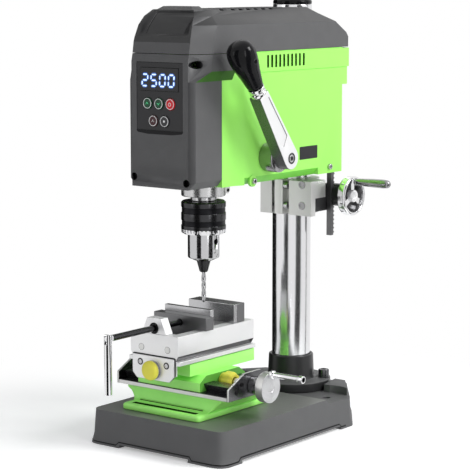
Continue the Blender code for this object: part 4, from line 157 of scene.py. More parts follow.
@dataclass(frozen=True)
class Surface:
    """A named procedural surface whose material is made once.

    Attributes:
        name: Name of the material.
        colour: Linear base colour.
    """

    name: str
    colour: Colour

    def material(self) -> bpy.types.Material:
        """Return the surface as a material.

        Returns:
            The node-based material.
        """
        found = bpy.data.materials.get(self.name)
        if found:
            return found
        made = bpy.data.materials.new(self.name)
        made.use_nodes = True
        self._fill(made.node_tree, made.node_tree.nodes["Principled BSDF"])
        return made

    def _fill(self, tree: bpy.types.NodeTree, shader: bpy.types.Node) -> None:
        """Build the nodes that feed the shader."""
        raise NotImplementedError


@dataclass(frozen=True)
class Finish(Surface):
    """One colour with grain, broad blotches and lighter convex edges.

    Attributes:
        roughness: Mean roughness.
        metallic: Zero for paint and plastic, one for bare metal.
        grain: Scale of the surface grain, in bumps per metre.
        depth: Strength of the grain's bump.
        blotch: Share by which broad patches darken or lighten the colour.
        sheen_spread: How far the roughness wanders about its mean.
        coat: Weight of a clear coat.
        stretch: Stretch of the grain along X, Y and Z, for brushed metal.
        edge_lift: Share of lighter colour on convex edges.
        gloss: Specular level, half for common paint.
    """

    roughness: float
    metallic: float = 0.0
    grain: float = 1800.0
    depth: float = 0.05
    blotch: float = 0.04
    sheen_spread: float = 0.06
    coat: float = 0.0
    stretch: Point3 = (1.0, 1.0, 1.0)
    edge_lift: float = 0.0
    gloss: float = 0.5

    def _fill(self, tree: bpy.types.NodeTree, shader: bpy.types.Node) -> None:
        """Build the blotches, the wandering roughness and the bump.

        Args:
            tree: The material's tree.
            shader: Its principled shader.
        """
        for socket, value in (("Metallic", self.metallic), ("Coat Weight", self.coat),
                              ("Specular IOR Level", self.gloss), ("Coat Roughness", 0.12)):
            shader.inputs[socket].default_value = value
        mapping = add_node(tree, "ShaderNodeMapping", {"Scale": self.stretch})
        wire(add_node(tree, "ShaderNodeTexCoord"), "Object", mapping, "Vector")
        broad = add_node(tree, "ShaderNodeTexNoise", {"Scale": self.grain / 60, "Detail": 3.0})
        fine = add_node(tree, "ShaderNodeTexNoise", {"Scale": self.grain, "Detail": 2.0})
        wire(mapping, "Vector", broad, "Vector")
        wire(mapping, "Vector", fine, "Vector")
        colour = add_ramp(tree, (0.3, [max(0.0, c * (1 - self.blotch)) for c in self.colour]),
                          (0.7, [min(1.0, c * (1 + self.blotch)) for c in self.colour]))
        wire(broad, "Fac", colour, "Fac")
        output: str | int = "Color"
        if self.edge_lift > 0.0:
            colour, output = self._lift_edges(tree, colour), 2
        wire(colour, output, shader, "Base Color")
        spread = add_node(tree, "ShaderNodeMapRange", {
            "To Min": max(0.02, self.roughness - self.sheen_spread),
            "To Max": min(1.0, self.roughness + self.sheen_spread)})
        wire(fine, "Fac", spread, "Value")
        wire(spread, "Result", shader, "Roughness")
        bump = add_node(tree, "ShaderNodeBump", {"Strength": self.depth, "Distance": 0.0002})
        wire(fine, "Fac", bump, "Height")
        wire(bump, "Normal", shader, "Normal")

    def _lift_edges(self, tree: bpy.types.NodeTree, ramp: bpy.types.Node) -> bpy.types.Node:
        """Lighten the ramp's colour on convex edges.

        Args:
            tree: The material's tree.
            ramp: The colour ramp.

        Returns:
            The mixing node, whose colour is its output 2.
        """
        edge = add_node(tree, "ShaderNodeMapRange",
                        {"From Min": 0.52, "From Max": 0.62, "To Max": self.edge_lift})
        bright = (*(min(1.0, c * 1.6 + 0.05) for c in self.colour), 1.0)
        mix = add_node(tree, "ShaderNodeMix", {7: bright}, data_type="RGBA")
        wire(add_node(tree, "ShaderNodeNewGeometry"), "Pointiness", edge, "Value")
        wire(edge, "Result", mix, 0)
        wire(ramp, "Color", mix, 6)
        return mix


@dataclass(frozen=True)
class Glow(Surface):
    """A lit surface, such as the digits behind the display window.

    Attributes:
        strength: Strength of its light.
    """

    strength: float

    def _fill(self, tree: bpy.types.NodeTree, shader: bpy.types.Node) -> None:
        """Build the slightly uneven light.

        Args:
            tree: The material's tree.
            shader: Its principled shader.
        """
        shader.inputs["Emission Strength"].default_value = self.strength
        shader.inputs["Roughness"].default_value = 0.3
        cloud = add_node(tree, "ShaderNodeTexNoise", {"Scale": 320.0})
        ramp = add_ramp(tree, (0.35, [c * 0.78 for c in self.colour]), (0.65, self.colour))
        wire(add_node(tree, "ShaderNodeTexCoord"), "Object", cloud, "Vector")
        wire(cloud, "Fac", ramp, "Fac")
        wire(ramp, "Color", shader, "Base Color")
        wire(ramp, "Color", shader, "Emission Color")


@dataclass(frozen=True)
class TurnedFace(Surface):
    """A metal face with the radial sheen that a lathe tool leaves.

    Attributes:
        roughness: Roughness across the tool marks.
        axis: Axis that the face turns about.
        centre: A point of that axis, in machine millimetres.
        pitch: Tool marks per metre of radius.
    """

    roughness: float
    axis: Axis
    centre: Point3
    pitch: float = 2600.0

    def _fill(self, tree: bpy.types.NodeTree, shader: bpy.types.Node) -> None:
        """Build the rings and the sheen that runs across them.

        Args:
            tree: The material's tree.
            shader: Its principled shader.
        """
        shader.inputs["Base Color"].default_value = (*self.colour, 1.0)
        shader.inputs["Metallic"].default_value = 1.0
        shader.inputs["Anisotropic"].default_value = 0.75
        tangent = add_node(tree, "ShaderNodeTangent", direction_type="RADIAL", axis=self.axis.value)
        wire(tangent, "Tangent", shader, "Tangent")
        mapping = add_node(tree, "ShaderNodeMapping", {"Location": [-c for c in place(*self.centre)]})
        flat = add_node(tree, "ShaderNodeVectorMath", {1: self.axis.point(1.0, 1.0, 0.0)},
                        operation="MULTIPLY")
        length = add_node(tree, "ShaderNodeVectorMath", operation="LENGTH")
        rings = add_node(tree, "ShaderNodeTexNoise", noise_dimensions="1D")
        rings.inputs["Scale"].default_value = self.pitch
        spread = add_node(tree, "ShaderNodeMapRange", {"To Min": self.roughness * 0.75,
                                                       "To Max": self.roughness * 1.3})
        wire(add_node(tree, "ShaderNodeTexCoord"), "Object", mapping, "Vector")
        wire(mapping, "Vector", flat, 0)
        wire(flat, "Vector", length, 0)
        wire(length, "Value", rings, "W")
        wire(rings, "Fac", spread, "Value")
        wire(spread, "Result", shader, "Roughness")


LIME = Finish("lime_paint", (0.312, 0.790, 0.128), 0.38, grain=2600, depth=0.03, blotch=0.012,
              coat=0.08, gloss=0.35)
LIME_CAST = Finish("lime_casting", (0.390, 0.970, 0.195), 0.32, grain=2200, depth=0.05, blotch=0.03,
                   coat=0.2, gloss=0.4)
# Darker lime on the head's downward-facing chamfers: painted shade.
LIME_CHAMFER_SHADE = Finish("lime_chamfer_painted_shade", (0.150, 0.560, 0.045), 0.38, grain=2600, depth=0.03, blotch=0.012,
                  gloss=0.3)
# Darker lime on the saddle's sides: painted shade.
LIME_FLANK_SHADE = Finish("lime_flank_painted_shade", (0.110, 0.380, 0.050), 0.36, grain=2200, depth=0.05, blotch=0.03,
                   gloss=0.3)
# Dark lime in the head's vents and under the cover's shoulder: painted shade.
LIME_PAINTED_SHADE = Finish("lime_painted_shade", (0.035, 0.120, 0.012), 0.50, grain=2600, depth=0.03, blotch=0.02,
                    gloss=0.2)
# Near-black lime in the vise foot's slots and grooves: painted shade.
LIME_SLOT_SHADE = Finish("lime_slot_painted_shade", (0.008, 0.040, 0.004), 0.60, grain=2600, depth=0.03, gloss=0.1)
SHELL = Finish("charcoal_shell", (0.092, 0.092, 0.094), 0.44, grain=3600, depth=0.10, blotch=0.04,
               gloss=0.22)
# Darker charcoal on the lid's front faces: painted shade.
SHELL_FRONT_SHADE = Finish("charcoal_lid_front_painted_shade", (0.023, 0.023, 0.024), 0.34, grain=3600, depth=0.10,
                    blotch=0.06, gloss=0.35)
# Darker charcoal on the lid's top faces: painted shade.
SHELL_TOP_SHADE = Finish("charcoal_lid_top_painted_shade", (0.062, 0.062, 0.063), 0.42, grain=3600, depth=0.10,
                   blotch=0.05, gloss=0.22)
PANEL = Finish("panel_film", (0.016, 0.016, 0.018), 0.32, grain=4200, depth=0.02, blotch=0.04, gloss=0.3)
GLOSS_BLACK = Finish("gloss_black", (0.005, 0.005, 0.006), 0.13, grain=900, depth=0.02, blotch=0.05,
                     gloss=0.14)
# Black for small black parts, and also for painted shade in holes, gaps and under edges.
BLACK_PARTS_AND_SHADE = Finish("black_screw_and_painted_shade", (0.008, 0.008, 0.009), 0.36, metallic=0.4, grain=3000, depth=0.05,
              gloss=0.2)
CAST = Finish("powder_coat", (0.104, 0.104, 0.106), 0.55, grain=2800, depth=0.20, blotch=0.04,
              edge_lift=0.25, gloss=0.22)
FOOT_CAST = Finish("dark_powder_coat", (0.022, 0.022, 0.023), 0.30, grain=2800, depth=0.12,
                   blotch=0.06, edge_lift=0.15, gloss=0.3)
TABLE = Finish("machined_table", (0.165, 0.169, 0.160), 0.42, metallic=0.35, grain=900, depth=0.05,
               blotch=0.04, stretch=(0.08, 2.2, 2.2), gloss=0.3)
CHROME = Finish("chrome", (0.800, 0.800, 0.815), 0.09, metallic=1.0, grain=500, depth=0.01,
                blotch=0.01, sheen_spread=0.03)
COLUMN_CHROME = Finish("column_chrome", (0.760, 0.760, 0.775), 0.17, metallic=1.0, grain=500, depth=0.01,
                       blotch=0.01, sheen_spread=0.03)
CHUCK_STEEL = Finish("chuck_steel", (0.540, 0.540, 0.550), 0.13, metallic=1.0, grain=900, depth=0.02,
                     blotch=0.02, sheen_spread=0.03)
BLACK_CHROME = Finish("black_chrome", (0.052, 0.052, 0.055), 0.24, metallic=1.0, grain=1500,
                      depth=0.03, blotch=0.08, sheen_spread=0.05)
BLACK_SATIN = Finish("black_satin", (0.016, 0.016, 0.018), 0.34, metallic=1.0, grain=2400, depth=0.10,
                     blotch=0.08)
QUILL_STEEL = Finish("ground_quill", (0.560, 0.560, 0.565), 0.26, metallic=1.0, grain=1500, depth=0.04,
                     stretch=(2.0, 2.0, 0.2))
JAW_BLACK = Finish("jaw_black", (0.045, 0.045, 0.047), 0.30, metallic=1.0, grain=2000, depth=0.06)
STEEL = Finish("machined_steel", (0.500, 0.500, 0.510), 0.24, metallic=1.0, grain=1500, depth=0.06,
               blotch=0.05, stretch=(0.15, 2.0, 2.0))
DARK_STEEL = Finish("blued_steel", (0.120, 0.120, 0.126), 0.26, metallic=1.0, grain=1500, depth=0.06,
                    blotch=0.12)
ROD_STEEL = Finish("rod_steel", (0.060, 0.060, 0.063), 0.16, metallic=1.0, grain=1500, depth=0.04,
                   stretch=(2.0, 0.1, 2.0))
RAIL_STEEL = Finish("rail_steel", (0.090, 0.090, 0.095), 0.28, metallic=0.9, grain=1500, depth=0.06,
                    blotch=0.15, stretch=(0.1, 2.0, 2.0))
RACK_STEEL = Finish("rack_steel", (0.150, 0.150, 0.154), 0.30, metallic=0.9, grain=1500, depth=0.06,
                    blotch=0.12)
HUB_METAL = Finish("hub_metal", (0.330, 0.330, 0.335), 0.22, metallic=1.0, grain=1500, depth=0.05)
ALUMINIUM = Finish("milled_aluminium", (0.610, 0.610, 0.600), 0.36, metallic=0.85, grain=1300,
                   depth=0.05, blotch=0.03, stretch=(2.0, 2.0, 0.12))
SATIN_WHITE = Finish("satin_casting", (0.800, 0.800, 0.805), 0.40, metallic=0.6, grain=1800,
                     depth=0.05, blotch=0.02)
# Dark metal on the slide's undercut and its top slot's floor: painted shade.
SLIDE_SHADE = Finish("slide_undercut_painted_shade", (0.085, 0.085, 0.088), 0.30, metallic=0.8, grain=1500, depth=0.05)
ARM_EDGE = Finish("arm_edge", (0.150, 0.150, 0.156), 0.28, metallic=0.9, grain=1500, depth=0.06)
JAW_IRON = Finish("jaw_iron", (0.150, 0.150, 0.154), 0.34, metallic=0.85, grain=1600, depth=0.10,
                  blotch=0.10, edge_lift=0.3)
YELLOW = Finish("yellow_knob", (0.800, 0.750, 0.085), 0.40, grain=2200, depth=0.06, blotch=0.04,
                gloss=0.35)
RUBBER = Finish("belt_rubber", (0.015, 0.015, 0.015), 0.80, grain=1800, depth=0.3)
GREEN_KEY = Finish("green_key", (0.004, 0.060, 0.024), 0.30, grain=2400, depth=0.02, gloss=0.3)
RED_KEY = Finish("red_key", (0.600, 0.012, 0.020), 0.30, grain=2400, depth=0.02, gloss=0.3)
DULL_RED_KEY = Finish("dull_red_key", (0.050, 0.012, 0.016), 0.30, grain=2400, depth=0.02, gloss=0.3)
GREY_KEY = Finish("grey_key", (0.030, 0.030, 0.033), 0.30, grain=2400, depth=0.02, gloss=0.3)
MARK_WHITE = Finish("white_marking", (0.800, 0.800, 0.800), 0.45, grain=2400, depth=0.01)
MARK_GREEN = Finish("green_marking", (0.100, 0.800, 0.330), 0.45, grain=2400, depth=0.01)
DIGITS = Glow("display_digits", (0.640, 0.830, 1.000), 1.0)
# Blue glow round the digits: painted glow.
PAINTED_GLOW = Glow("display_halo", (0.030, 0.110, 0.420), 0.55)
X_FACE = TurnedFace("turned_steel_face", (0.56, 0.56, 0.57), 0.30, Axis.X, (0.0, -3.0, 74.5))


# Mesh makers


def link(name: str, mesh: bpy.types.Mesh) -> bpy.types.Object:
    """Put a mesh into the scene as an object at the origin.

    Args:
        name: Name of the object.
        mesh: Its mesh.

    Returns:
        The object.
    """
    made = bpy.data.objects.new(name, mesh)
    bpy.context.scene.collection.objects.link(made)
    return made


def to_object(name: str, work: bmesh.types.BMesh, smooth: float = 35.0) -> bpy.types.Object:
    """Turn a bmesh in machine millimetres into an object in the frame.

    Args:
        name: Name of the object.
        work: The mesh, freed here.
        smooth: Angle in degrees below which edges are shaded smooth.

    Returns:
        The object, at the origin with its place in its mesh.
    """
    bmesh.ops.remove_doubles(work, verts=work.verts, dist=0.001)
    bmesh.ops.recalc_face_normals(work, faces=work.faces)
    work.transform(Matrix.Translation(SPINDLE_PLACE) @ Matrix.Scale(MM, 4))
    mesh = bpy.data.meshes.new(name)
    work.to_mesh(mesh)
    work.free()
    mesh.shade_smooth()
    mesh.set_sharp_from_angle(angle=math.radians(smooth))
    return link(name, mesh)


def add_turned(work: bmesh.types.BMesh, axis: Axis, centre: Point2, profile: Sequence[Point2],
               steps: int = 72, closed: bool = False) -> None:
    """Add a profile turned about an axis.

    Args:
        work: Mesh that receives the shape.
        axis: Axis that the profile turns about.
        centre: Place of the axis across itself, in millimetres.
        profile: Pairs of radius and place along the axis.
        steps: Number of facets round the axis.
        closed: Whether the profile's last point joins its first.
    """
    rings = []
    for radius, along in profile:
        count = steps if radius > 0 else 1
        rings.append([work.verts.new(axis.point(
            centre[0] + radius * math.cos(2 * math.pi * step / steps),
            centre[1] + radius * math.sin(2 * math.pi * step / steps), along))
            for step in range(count)])
    pairs = list(zip(rings, rings[1:]))
    if closed:
        pairs.append((rings[-1], rings[0]))
    else:
        for ring in (rings[0], rings[-1]):
            if len(ring) > 2:
                work.faces.new(ring)
    for lower, upper in pairs:
        for step in range(steps):
            after = (step + 1) % steps
            corners = [lower[step % len(lower)], lower[after % len(lower)],
                       upper[after % len(upper)], upper[step % len(upper)]]
            unique = list(dict.fromkeys(corners))
            if len(unique) > 2:
                work.faces.new(unique)


def add_loft(work: bmesh.types.BMesh, rows: Sequence[Sequence[bmesh.types.BMVert]],
             capped: bool = True) -> None:
    """Join rings of corners into a closed skin.

    Args:
        work: Mesh that holds the corners.
        rows: The rings in order, each with as many corners.
        capped: Whether the end rings are filled, or else joined to each other.
    """
    if capped:
        work.faces.new(rows[0])
        work.faces.new(rows[-1])
    for lower, upper in zip(rows, rows[1:] if capped else [*rows[1:], rows[0]]):
        for step in range(len(lower)):
            after = (step + 1) % len(lower)
            work.faces.new([lower[step], lower[after], upper[after], upper[step]])


def add_prism(work: bmesh.types.BMesh, axis: Axis, outline: Sequence[Point2], low: float,
              high: float) -> None:
    """Add an outline extruded along an axis.

    Args:
        work: Mesh that receives the shape.
        axis: Axis of the extrusion.
        outline: Corners across the axis, in millimetres.
        low: Start along the axis.
        high: End along the axis.
    """
    add_loft(work, [[work.verts.new(axis.point(u, v, w)) for u, v in outline] for w in (low, high)])


def soft_profile(points: Sequence[Point2], radius: float, steps: int = 4) -> list[Point2]:
    """Round the corners of an open profile.

    Args:
        points: Corners of the profile.
        radius: Largest distance that a corner gives up on each side.
        steps: Points per rounded corner.

    Returns:
        The profile with rounded corners, ends unchanged.
    """
    result = [points[0]]
    for before, here, after in zip(points, points[1:], points[2:]):
        corner, back, ahead = Vector(here), Vector(before), Vector(after)
        reach = min(radius, (corner - back).length * 0.45, (ahead - corner).length * 0.45)
        start = corner + (back - corner).normalized() * reach
        end = corner + (ahead - corner).normalized() * reach
        for step in range(steps + 1):
            share = step / steps
            spot = start.lerp(corner, share).lerp(corner.lerp(end, share), share)
            result.append((spot.x, spot.y))
    result.append(points[-1])
    return result


def round_outline(points: Sequence[Point2], radius: float, steps: int = 5) -> list[Point2]:
    """Round every corner of a closed outline."""
    ring = [points[-1], *points, points[0]]
    return soft_profile(ring, radius, steps)[1:-1]


def turned(name: str, axis: Axis, centre: Point2, profile: Sequence[Point2], rounding: float = 0.0,
           steps: int = 72, closed: bool = False) -> bpy.types.Object:
    """Make one turned piece.

    Args:
        name: Name of the piece.
        axis: Axis that it turns about.
        centre: Place of the axis across itself.
        profile: Pairs of radius and place along the axis.
        rounding: Width that the profile's corners give up, or zero.
        steps: Number of facets round the axis.
        closed: Whether the profile's last point joins its first.

    Returns:
        The piece.
    """
    work = bmesh.new()
    shape = soft_profile(profile, rounding) if rounding else list(profile)
    add_turned(work, axis, centre, shape, steps, closed)
    return to_object(name, work)


def prism(name: str, axis: Axis, outline: Sequence[Point2], low: float, high: float,
          edge: float = 0.0) -> bpy.types.Object:
    """Make one extruded piece.

    Args:
        name: Name of the piece.
        axis: Axis of the extrusion.
        outline: Corners across the axis.
        low: Start along the axis.
        high: End along the axis.
        edge: Width of its bevelled edges, or zero.

    Returns:
        The piece.
    """
    work = bmesh.new()
    add_prism(work, axis, outline, low, high)
    made = to_object(name, work)
    if edge:
        soften(made, edge)
    return made


def soften(piece: bpy.types.Object, width: float, segments: int = 3) -> None:
    """Bevel the sharp edges of a piece.

    Args:
        piece: The piece.
        width: Width of the bevel, in millimetres.
        segments: Steps across the bevel.
    """
    bevel = piece.modifiers.new("edge", "BEVEL")
    bevel.width = width * MM
    bevel.segments = segments
    bevel.limit_method = "ANGLE"
    bevel.angle_limit = math.radians(28)
    bevel.use_clamp_overlap = True
    bevel.harden_normals = False


def cut(piece: bpy.types.Object, cutter: bpy.types.Object) -> None:
    """Take a cutter out of a piece.

    Args:
        piece: The piece.
        cutter: The shape that is taken out, removed afterwards.
    """
    step = piece.modifiers.new("cut", "BOOLEAN")
    step.operation = "DIFFERENCE"
    step.object = cutter
    settle(piece)
    bpy.data.objects.remove(cutter)


def settle(piece: bpy.types.Object) -> None:
    """Turn a piece's evaluated mesh into its own mesh and drop its modifiers.

    Args:
        piece: The piece.
    """
    graph = bpy.context.evaluated_depsgraph_get()
    mesh = bpy.data.meshes.new_from_object(piece.evaluated_get(graph))
    piece.modifiers.clear()
    piece.data = mesh


def dress(piece: bpy.types.Object, finish: Surface, body: str,
          stands_for: Iterable[str] = ()) -> bpy.types.Object:
    """Give a piece its finish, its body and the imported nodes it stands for.

    Args:
        piece: The piece, in place.
        finish: Its surface.
        body: The rigid body that it rides on.
        stands_for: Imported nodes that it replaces.

    Returns:
        The piece.
    """
    piece.data.materials.clear()
    piece.data.materials.append(finish.material())
    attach(piece, body)
    nodes = list(stands_for)
    if nodes:
        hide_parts(*nodes)
    LOG.info("piece %s on %s", piece.name, body)
    return piece


def paint(piece: bpy.types.Object, finish: Surface,
          choose: Callable[[Vector, Vector], bool]) -> None:
    """Give the faces that a rule picks a second finish.

    Args:
        piece: The piece, already dressed.
        finish: The second finish.
        choose: Rule on a face's middle in machine millimetres and on its normal.
    """
    slot = len(piece.data.materials)
    piece.data.materials.append(finish.material())
    for face in piece.data.polygons:
        if choose((face.center - SPINDLE_PLACE) / MM, face.normal):
            face.material_index = slot


def disc(name: str, axis: Axis, centre: Point2, radius: float, low: float, high: float, finish: Surface,
         body: str, hole: float = 0.0) -> None:
    """Add a thin turned disc with softened edges.

    Args:
        name: Name of the piece.
        axis: Axis of the disc.
        centre: Place of the axis across itself.
        radius: Radius of the disc.
        low: Start along the axis.
        high: End along the axis.
        finish: Surface of the disc.
        body: The rigid body that it rides on.
        hole: Radius of a hole that makes it a ring, or zero.
    """
    profile = [(hole, low), (radius, low), (radius, high), (hole, high)]
    dress(turned(name, axis, centre, profile, min(0.25, (high - low) * 0.3), 48, closed=bool(hole)),
          finish, body)


class Frame:
    """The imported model, its nodes and the body of each of them."""

    def __init__(self) -> None:
        """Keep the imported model's tables at hand."""
        self.nodes: dict[str, bpy.types.Object] = frame["nodes"]
        self.bodies: dict[str, list[str]] = frame["record"]["behaviour"]["bodies"]
        self.slots: dict[str, str] = {part["node"]: part["material_slot"]
                                      for part in frame["record"]["subparts"]}

    def body_of(self, node: str) -> str:
        """Return the rigid body that holds a node."""
        return next(body for body, members in self.bodies.items() if node in members)

    def copy(self, node: str, name: str) -> bpy.types.Object:
        """Return a merged copy of a node's mesh as a new object.

        Args:
            node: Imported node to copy.
            name: Name of the new object.

        Returns:
            The copy, with flat regions joined into single faces.
        """
        work = bmesh.new()
        work.from_mesh(self.nodes[node].data)
        bmesh.ops.remove_doubles(work, verts=work.verts, dist=2e-6)
        bmesh.ops.dissolve_limit(work, angle_limit=math.radians(0.6), verts=work.verts,
                                 edges=work.edges)
        mesh = bpy.data.meshes.new(name)
        work.to_mesh(mesh)
        work.free()
        mesh.shade_smooth()
        mesh.set_sharp_from_angle(angle=math.radians(30))
        return link(name, mesh)

    def refine(self, node: str, finish: Surface, edge: float = 0.4,
               segments: int = 2) -> bpy.types.Object:
        """Replace a node with a copy whose edges are rounded.

        Args:
            node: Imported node.
            finish: Surface of the new piece.
            edge: Width of the rounded edges, in millimetres.
            segments: Steps across each rounded edge.

        Returns:
            The new piece.
        """
        piece = self.copy(node, f"{node}_fine")
        if edge:
            soften(piece, edge, segments)
        return self.swap(piece, finish, node)

    def swap(self, piece: bpy.types.Object, finish: Surface, node: str) -> bpy.types.Object:
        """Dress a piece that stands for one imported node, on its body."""
        return dress(piece, finish, self.body_of(node), [node])

    def finish(self, node: str, finish: Surface) -> None:
        """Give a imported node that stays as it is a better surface.

        Args:
            node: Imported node.
            finish: Its surface.
        """
        mesh = self.nodes[node].data
        mesh.materials.clear()
        mesh.materials.append(finish.material())


# Repeated pieces


@dataclass
class Repeat:
    """Copies of a small shape on given points, made by Geometry Nodes.

    Attributes:
        name: Name of the resulting piece.
        shape: The shape that is repeated, at the origin, removed afterwards.
        spots: Places of the copies, in machine millimetres.
        turns: Turn of each copy about X, Y and Z, in radians.
    """

    name: str
    shape: bpy.types.Object
    spots: Sequence[Point3]
    turns: Sequence[Point3] = ()

    def build(self, finish: Surface) -> bpy.types.Object:
        """Build the copies as one plain mesh.

        Args:
            finish: Surface set inside the tree.

        Returns:
            The piece, with no modifier left.
        """
        mesh = bpy.data.meshes.new(self.name)
        mesh.from_pydata([tuple(place(*spot)) for spot in self.spots], [], [])
        turn = mesh.attributes.new("turn", "FLOAT_VECTOR", "POINT")
        for index, angles in enumerate(self.turns or [(0.0, 0.0, 0.0)] * len(self.spots)):
            turn.data[index].vector = angles
        carrier = link(self.name, mesh)
        tree = self._tree(finish)
        modifier = carrier.modifiers.new("copies", "NODES")
        modifier.node_group = tree
        for item in tree.interface.items_tree:
            if item.item_type == "SOCKET" and item.name == "Shape":
                modifier[item.identifier] = self.shape
            if item.item_type == "SOCKET" and item.name == "Size":
                modifier[item.identifier] = 1.0
        settle(carrier)
        bpy.data.objects.remove(self.shape)
        carrier.data.name = self.name
        return carrier

    def _tree(self, finish: Surface) -> bpy.types.NodeTree:
        """Build the node tree that turns points into copies and those into one mesh.

        Args:
            finish: Surface of the copies.

        Returns:
            The node tree.
        """
        tree = bpy.data.node_groups.new(f"{self.name}_copies", "GeometryNodeTree")
        for socket, way, kind in (("Points", "INPUT", "Geometry"), ("Shape", "INPUT", "Object"),
                                  ("Size", "INPUT", "Float"), ("Copies", "OUTPUT", "Geometry")):
            tree.interface.new_socket(socket, in_out=way, socket_type=f"NodeSocket{kind}")
        start = add_node(tree, "NodeGroupInput")
        info = add_node(tree, "GeometryNodeObjectInfo")
        copies = add_node(tree, "GeometryNodeInstanceOnPoints")
        turn = add_node(tree, "GeometryNodeInputNamedAttribute", {"Name": "turn"}, data_type="FLOAT_VECTOR")
        scale = add_node(tree, "ShaderNodeCombineXYZ")
        realize = add_node(tree, "GeometryNodeRealizeInstances")
        cover = add_node(tree, "GeometryNodeSetMaterial", {"Material": finish.material()})
        for socket in ("X", "Y", "Z"):
            wire(start, "Size", scale, socket)
        wire(start, "Points", copies, "Points")
        wire(start, "Shape", info, "Object")
        wire(info, "Geometry", copies, "Instance")
        wire(turn, "Attribute", copies, "Rotation")
        wire(scale, "Vector", copies, "Scale")
        wire(copies, "Instances", realize, "Geometry")
        wire(realize, "Geometry", cover, "Geometry")
        wire(cover, "Geometry", add_node(tree, "NodeGroupOutput"), "Copies")
        return tree


def small_shape(name: str, work: bmesh.types.BMesh) -> bpy.types.Object:
    """Turn a bmesh about the origin into a shape to repeat.

    Args:
        name: Name of the shape.
        work: The mesh in millimetres, freed here.

    Returns:
        The shape.
    """
    bmesh.ops.recalc_face_normals(work, faces=work.faces)
    work.transform(Matrix.Scale(MM, 4))
    mesh = bpy.data.meshes.new(name)
    work.to_mesh(mesh)
    work.free()
    mesh.shade_smooth()
    mesh.set_sharp_from_angle(angle=math.radians(35))
    return link(name, mesh)


def screw_heads(name: str, size: Point2, spots: Sequence[Point3], axis: Axis, finish: Surface, body: str,
                stands_for: Iterable[str] = ()) -> None:
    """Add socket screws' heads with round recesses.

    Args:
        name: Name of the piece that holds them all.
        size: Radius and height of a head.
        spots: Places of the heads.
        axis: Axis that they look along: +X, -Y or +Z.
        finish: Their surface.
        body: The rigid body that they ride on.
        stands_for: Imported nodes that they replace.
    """
    radius, height = size
    work = bmesh.new()
    outer = soft_profile([(radius, 0.0), (radius, height), (radius * 0.55, height)], radius * 0.18, 3)
    add_turned(work, Axis.Z, (0.0, 0.0), [(0.0, 0.0), *outer, (radius * 0.5, height - 0.1),
                                          (radius * 0.48, height * 0.45), (0.0, height * 0.4)], 24)
    heads = Repeat(name, small_shape(f"{name}_head", work), spots, [axis.facing()] * len(spots))
    dress(heads.build(finish), finish, body, stands_for)


# Sub-assemblies


@dataclass
class Base:
    """The base casting with its machined table and its bolt-down holes."""

    edge: float = 1.4
    table_height: float = 39.2
    flare: float = 5.0
    line_low: float = 2.9
    line_high: float = 6.5
    line_half: float = 0.7
    half_width: float = 94.0
    rear_half_width: float = 45.0
    front: float = -86.5
    shoulder: float = 158.0
    rear: float = 222.0
    corner: float = 12.0
    front_notch: float = 55.0
    side_notch: Point2 = (-61.0, 139.0)
    lean: float = 0.4 / 7.5

    def build(self, model: Frame) -> None:
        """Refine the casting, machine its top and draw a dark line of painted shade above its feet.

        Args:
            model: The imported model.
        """
        casting = model.refine("base_casting", CAST, self.edge, 3)
        paint(casting, TABLE, lambda spot, normal: normal.z > 0.99
              and abs(spot.z - self.table_height) < 0.2)
        # A thin black line along the skirt's rim: painted shade.
        dress(self._skirt_line(), BLACK_PARTS_AND_SHADE, model.body_of("base_casting"))

    def _plan(self, grown: float) -> list[Point2]:
        """Return the outline of the base in plan, larger all round by a distance.

        Args:
            grown: How much larger, in millimetres.

        Returns:
            The outline's points.
        """
        wide, narrow = self.half_width + grown, self.rear_half_width + grown
        front, rear = self.front - grown, self.rear + grown
        return round_outline([(-wide, front), (wide, front), (wide, self.shoulder), (narrow, rear),
                              (-narrow, rear), (-wide, self.shoulder)], self.corner + grown)

    def _line_height(self, spot: Point2) -> float:
        """Return the height of the painted shade line at a place on the outline.

        Args:
            spot: The place in plan.

        Returns:
            The height in millimetres, raised over the notches between the feet.
        """
        near, far = self.side_notch
        inside = max(self.front_notch - abs(spot[0]), min(spot[1] - near, far - spot[1]))
        return self.line_low + min(max(inside, 0.0), self.line_high - self.line_low)

    def _skirt_line(self) -> bpy.types.Object:
        """Return the thin line of painted shade that follows the foot of the skirt.

        Returns:
            The finished line.
        """
        inner, outer = self._plan(0.0), self._plan(self.flare)
        work = bmesh.new()
        rings = []
        for index, start in enumerate(inner):
            after = (index + 1) % len(inner)
            parts = max(1, int(math.dist(start, inner[after]) / 1.8))
            for part in range(parts):
                share = part / parts
                near = Vector(start).lerp(Vector(inner[after]), share)
                far = Vector(outer[index]).lerp(Vector(outer[after]), share)
                height = self._line_height((near.x, near.y))
                ring = []
                for rise, reach in ((-1.0, -0.3), (-1.0, 0.22), (1.0, 0.22), (1.0, -0.3)):
                    level = height + rise * self.line_half
                    spot = near.lerp(far, 1.0 - level * self.lean) + (far - near).normalized() * reach
                    ring.append(work.verts.new((spot.x, spot.y, level)))
                rings.append(ring)
        add_loft(work, rings, capped=False)
        return to_object("skirt_line", work)


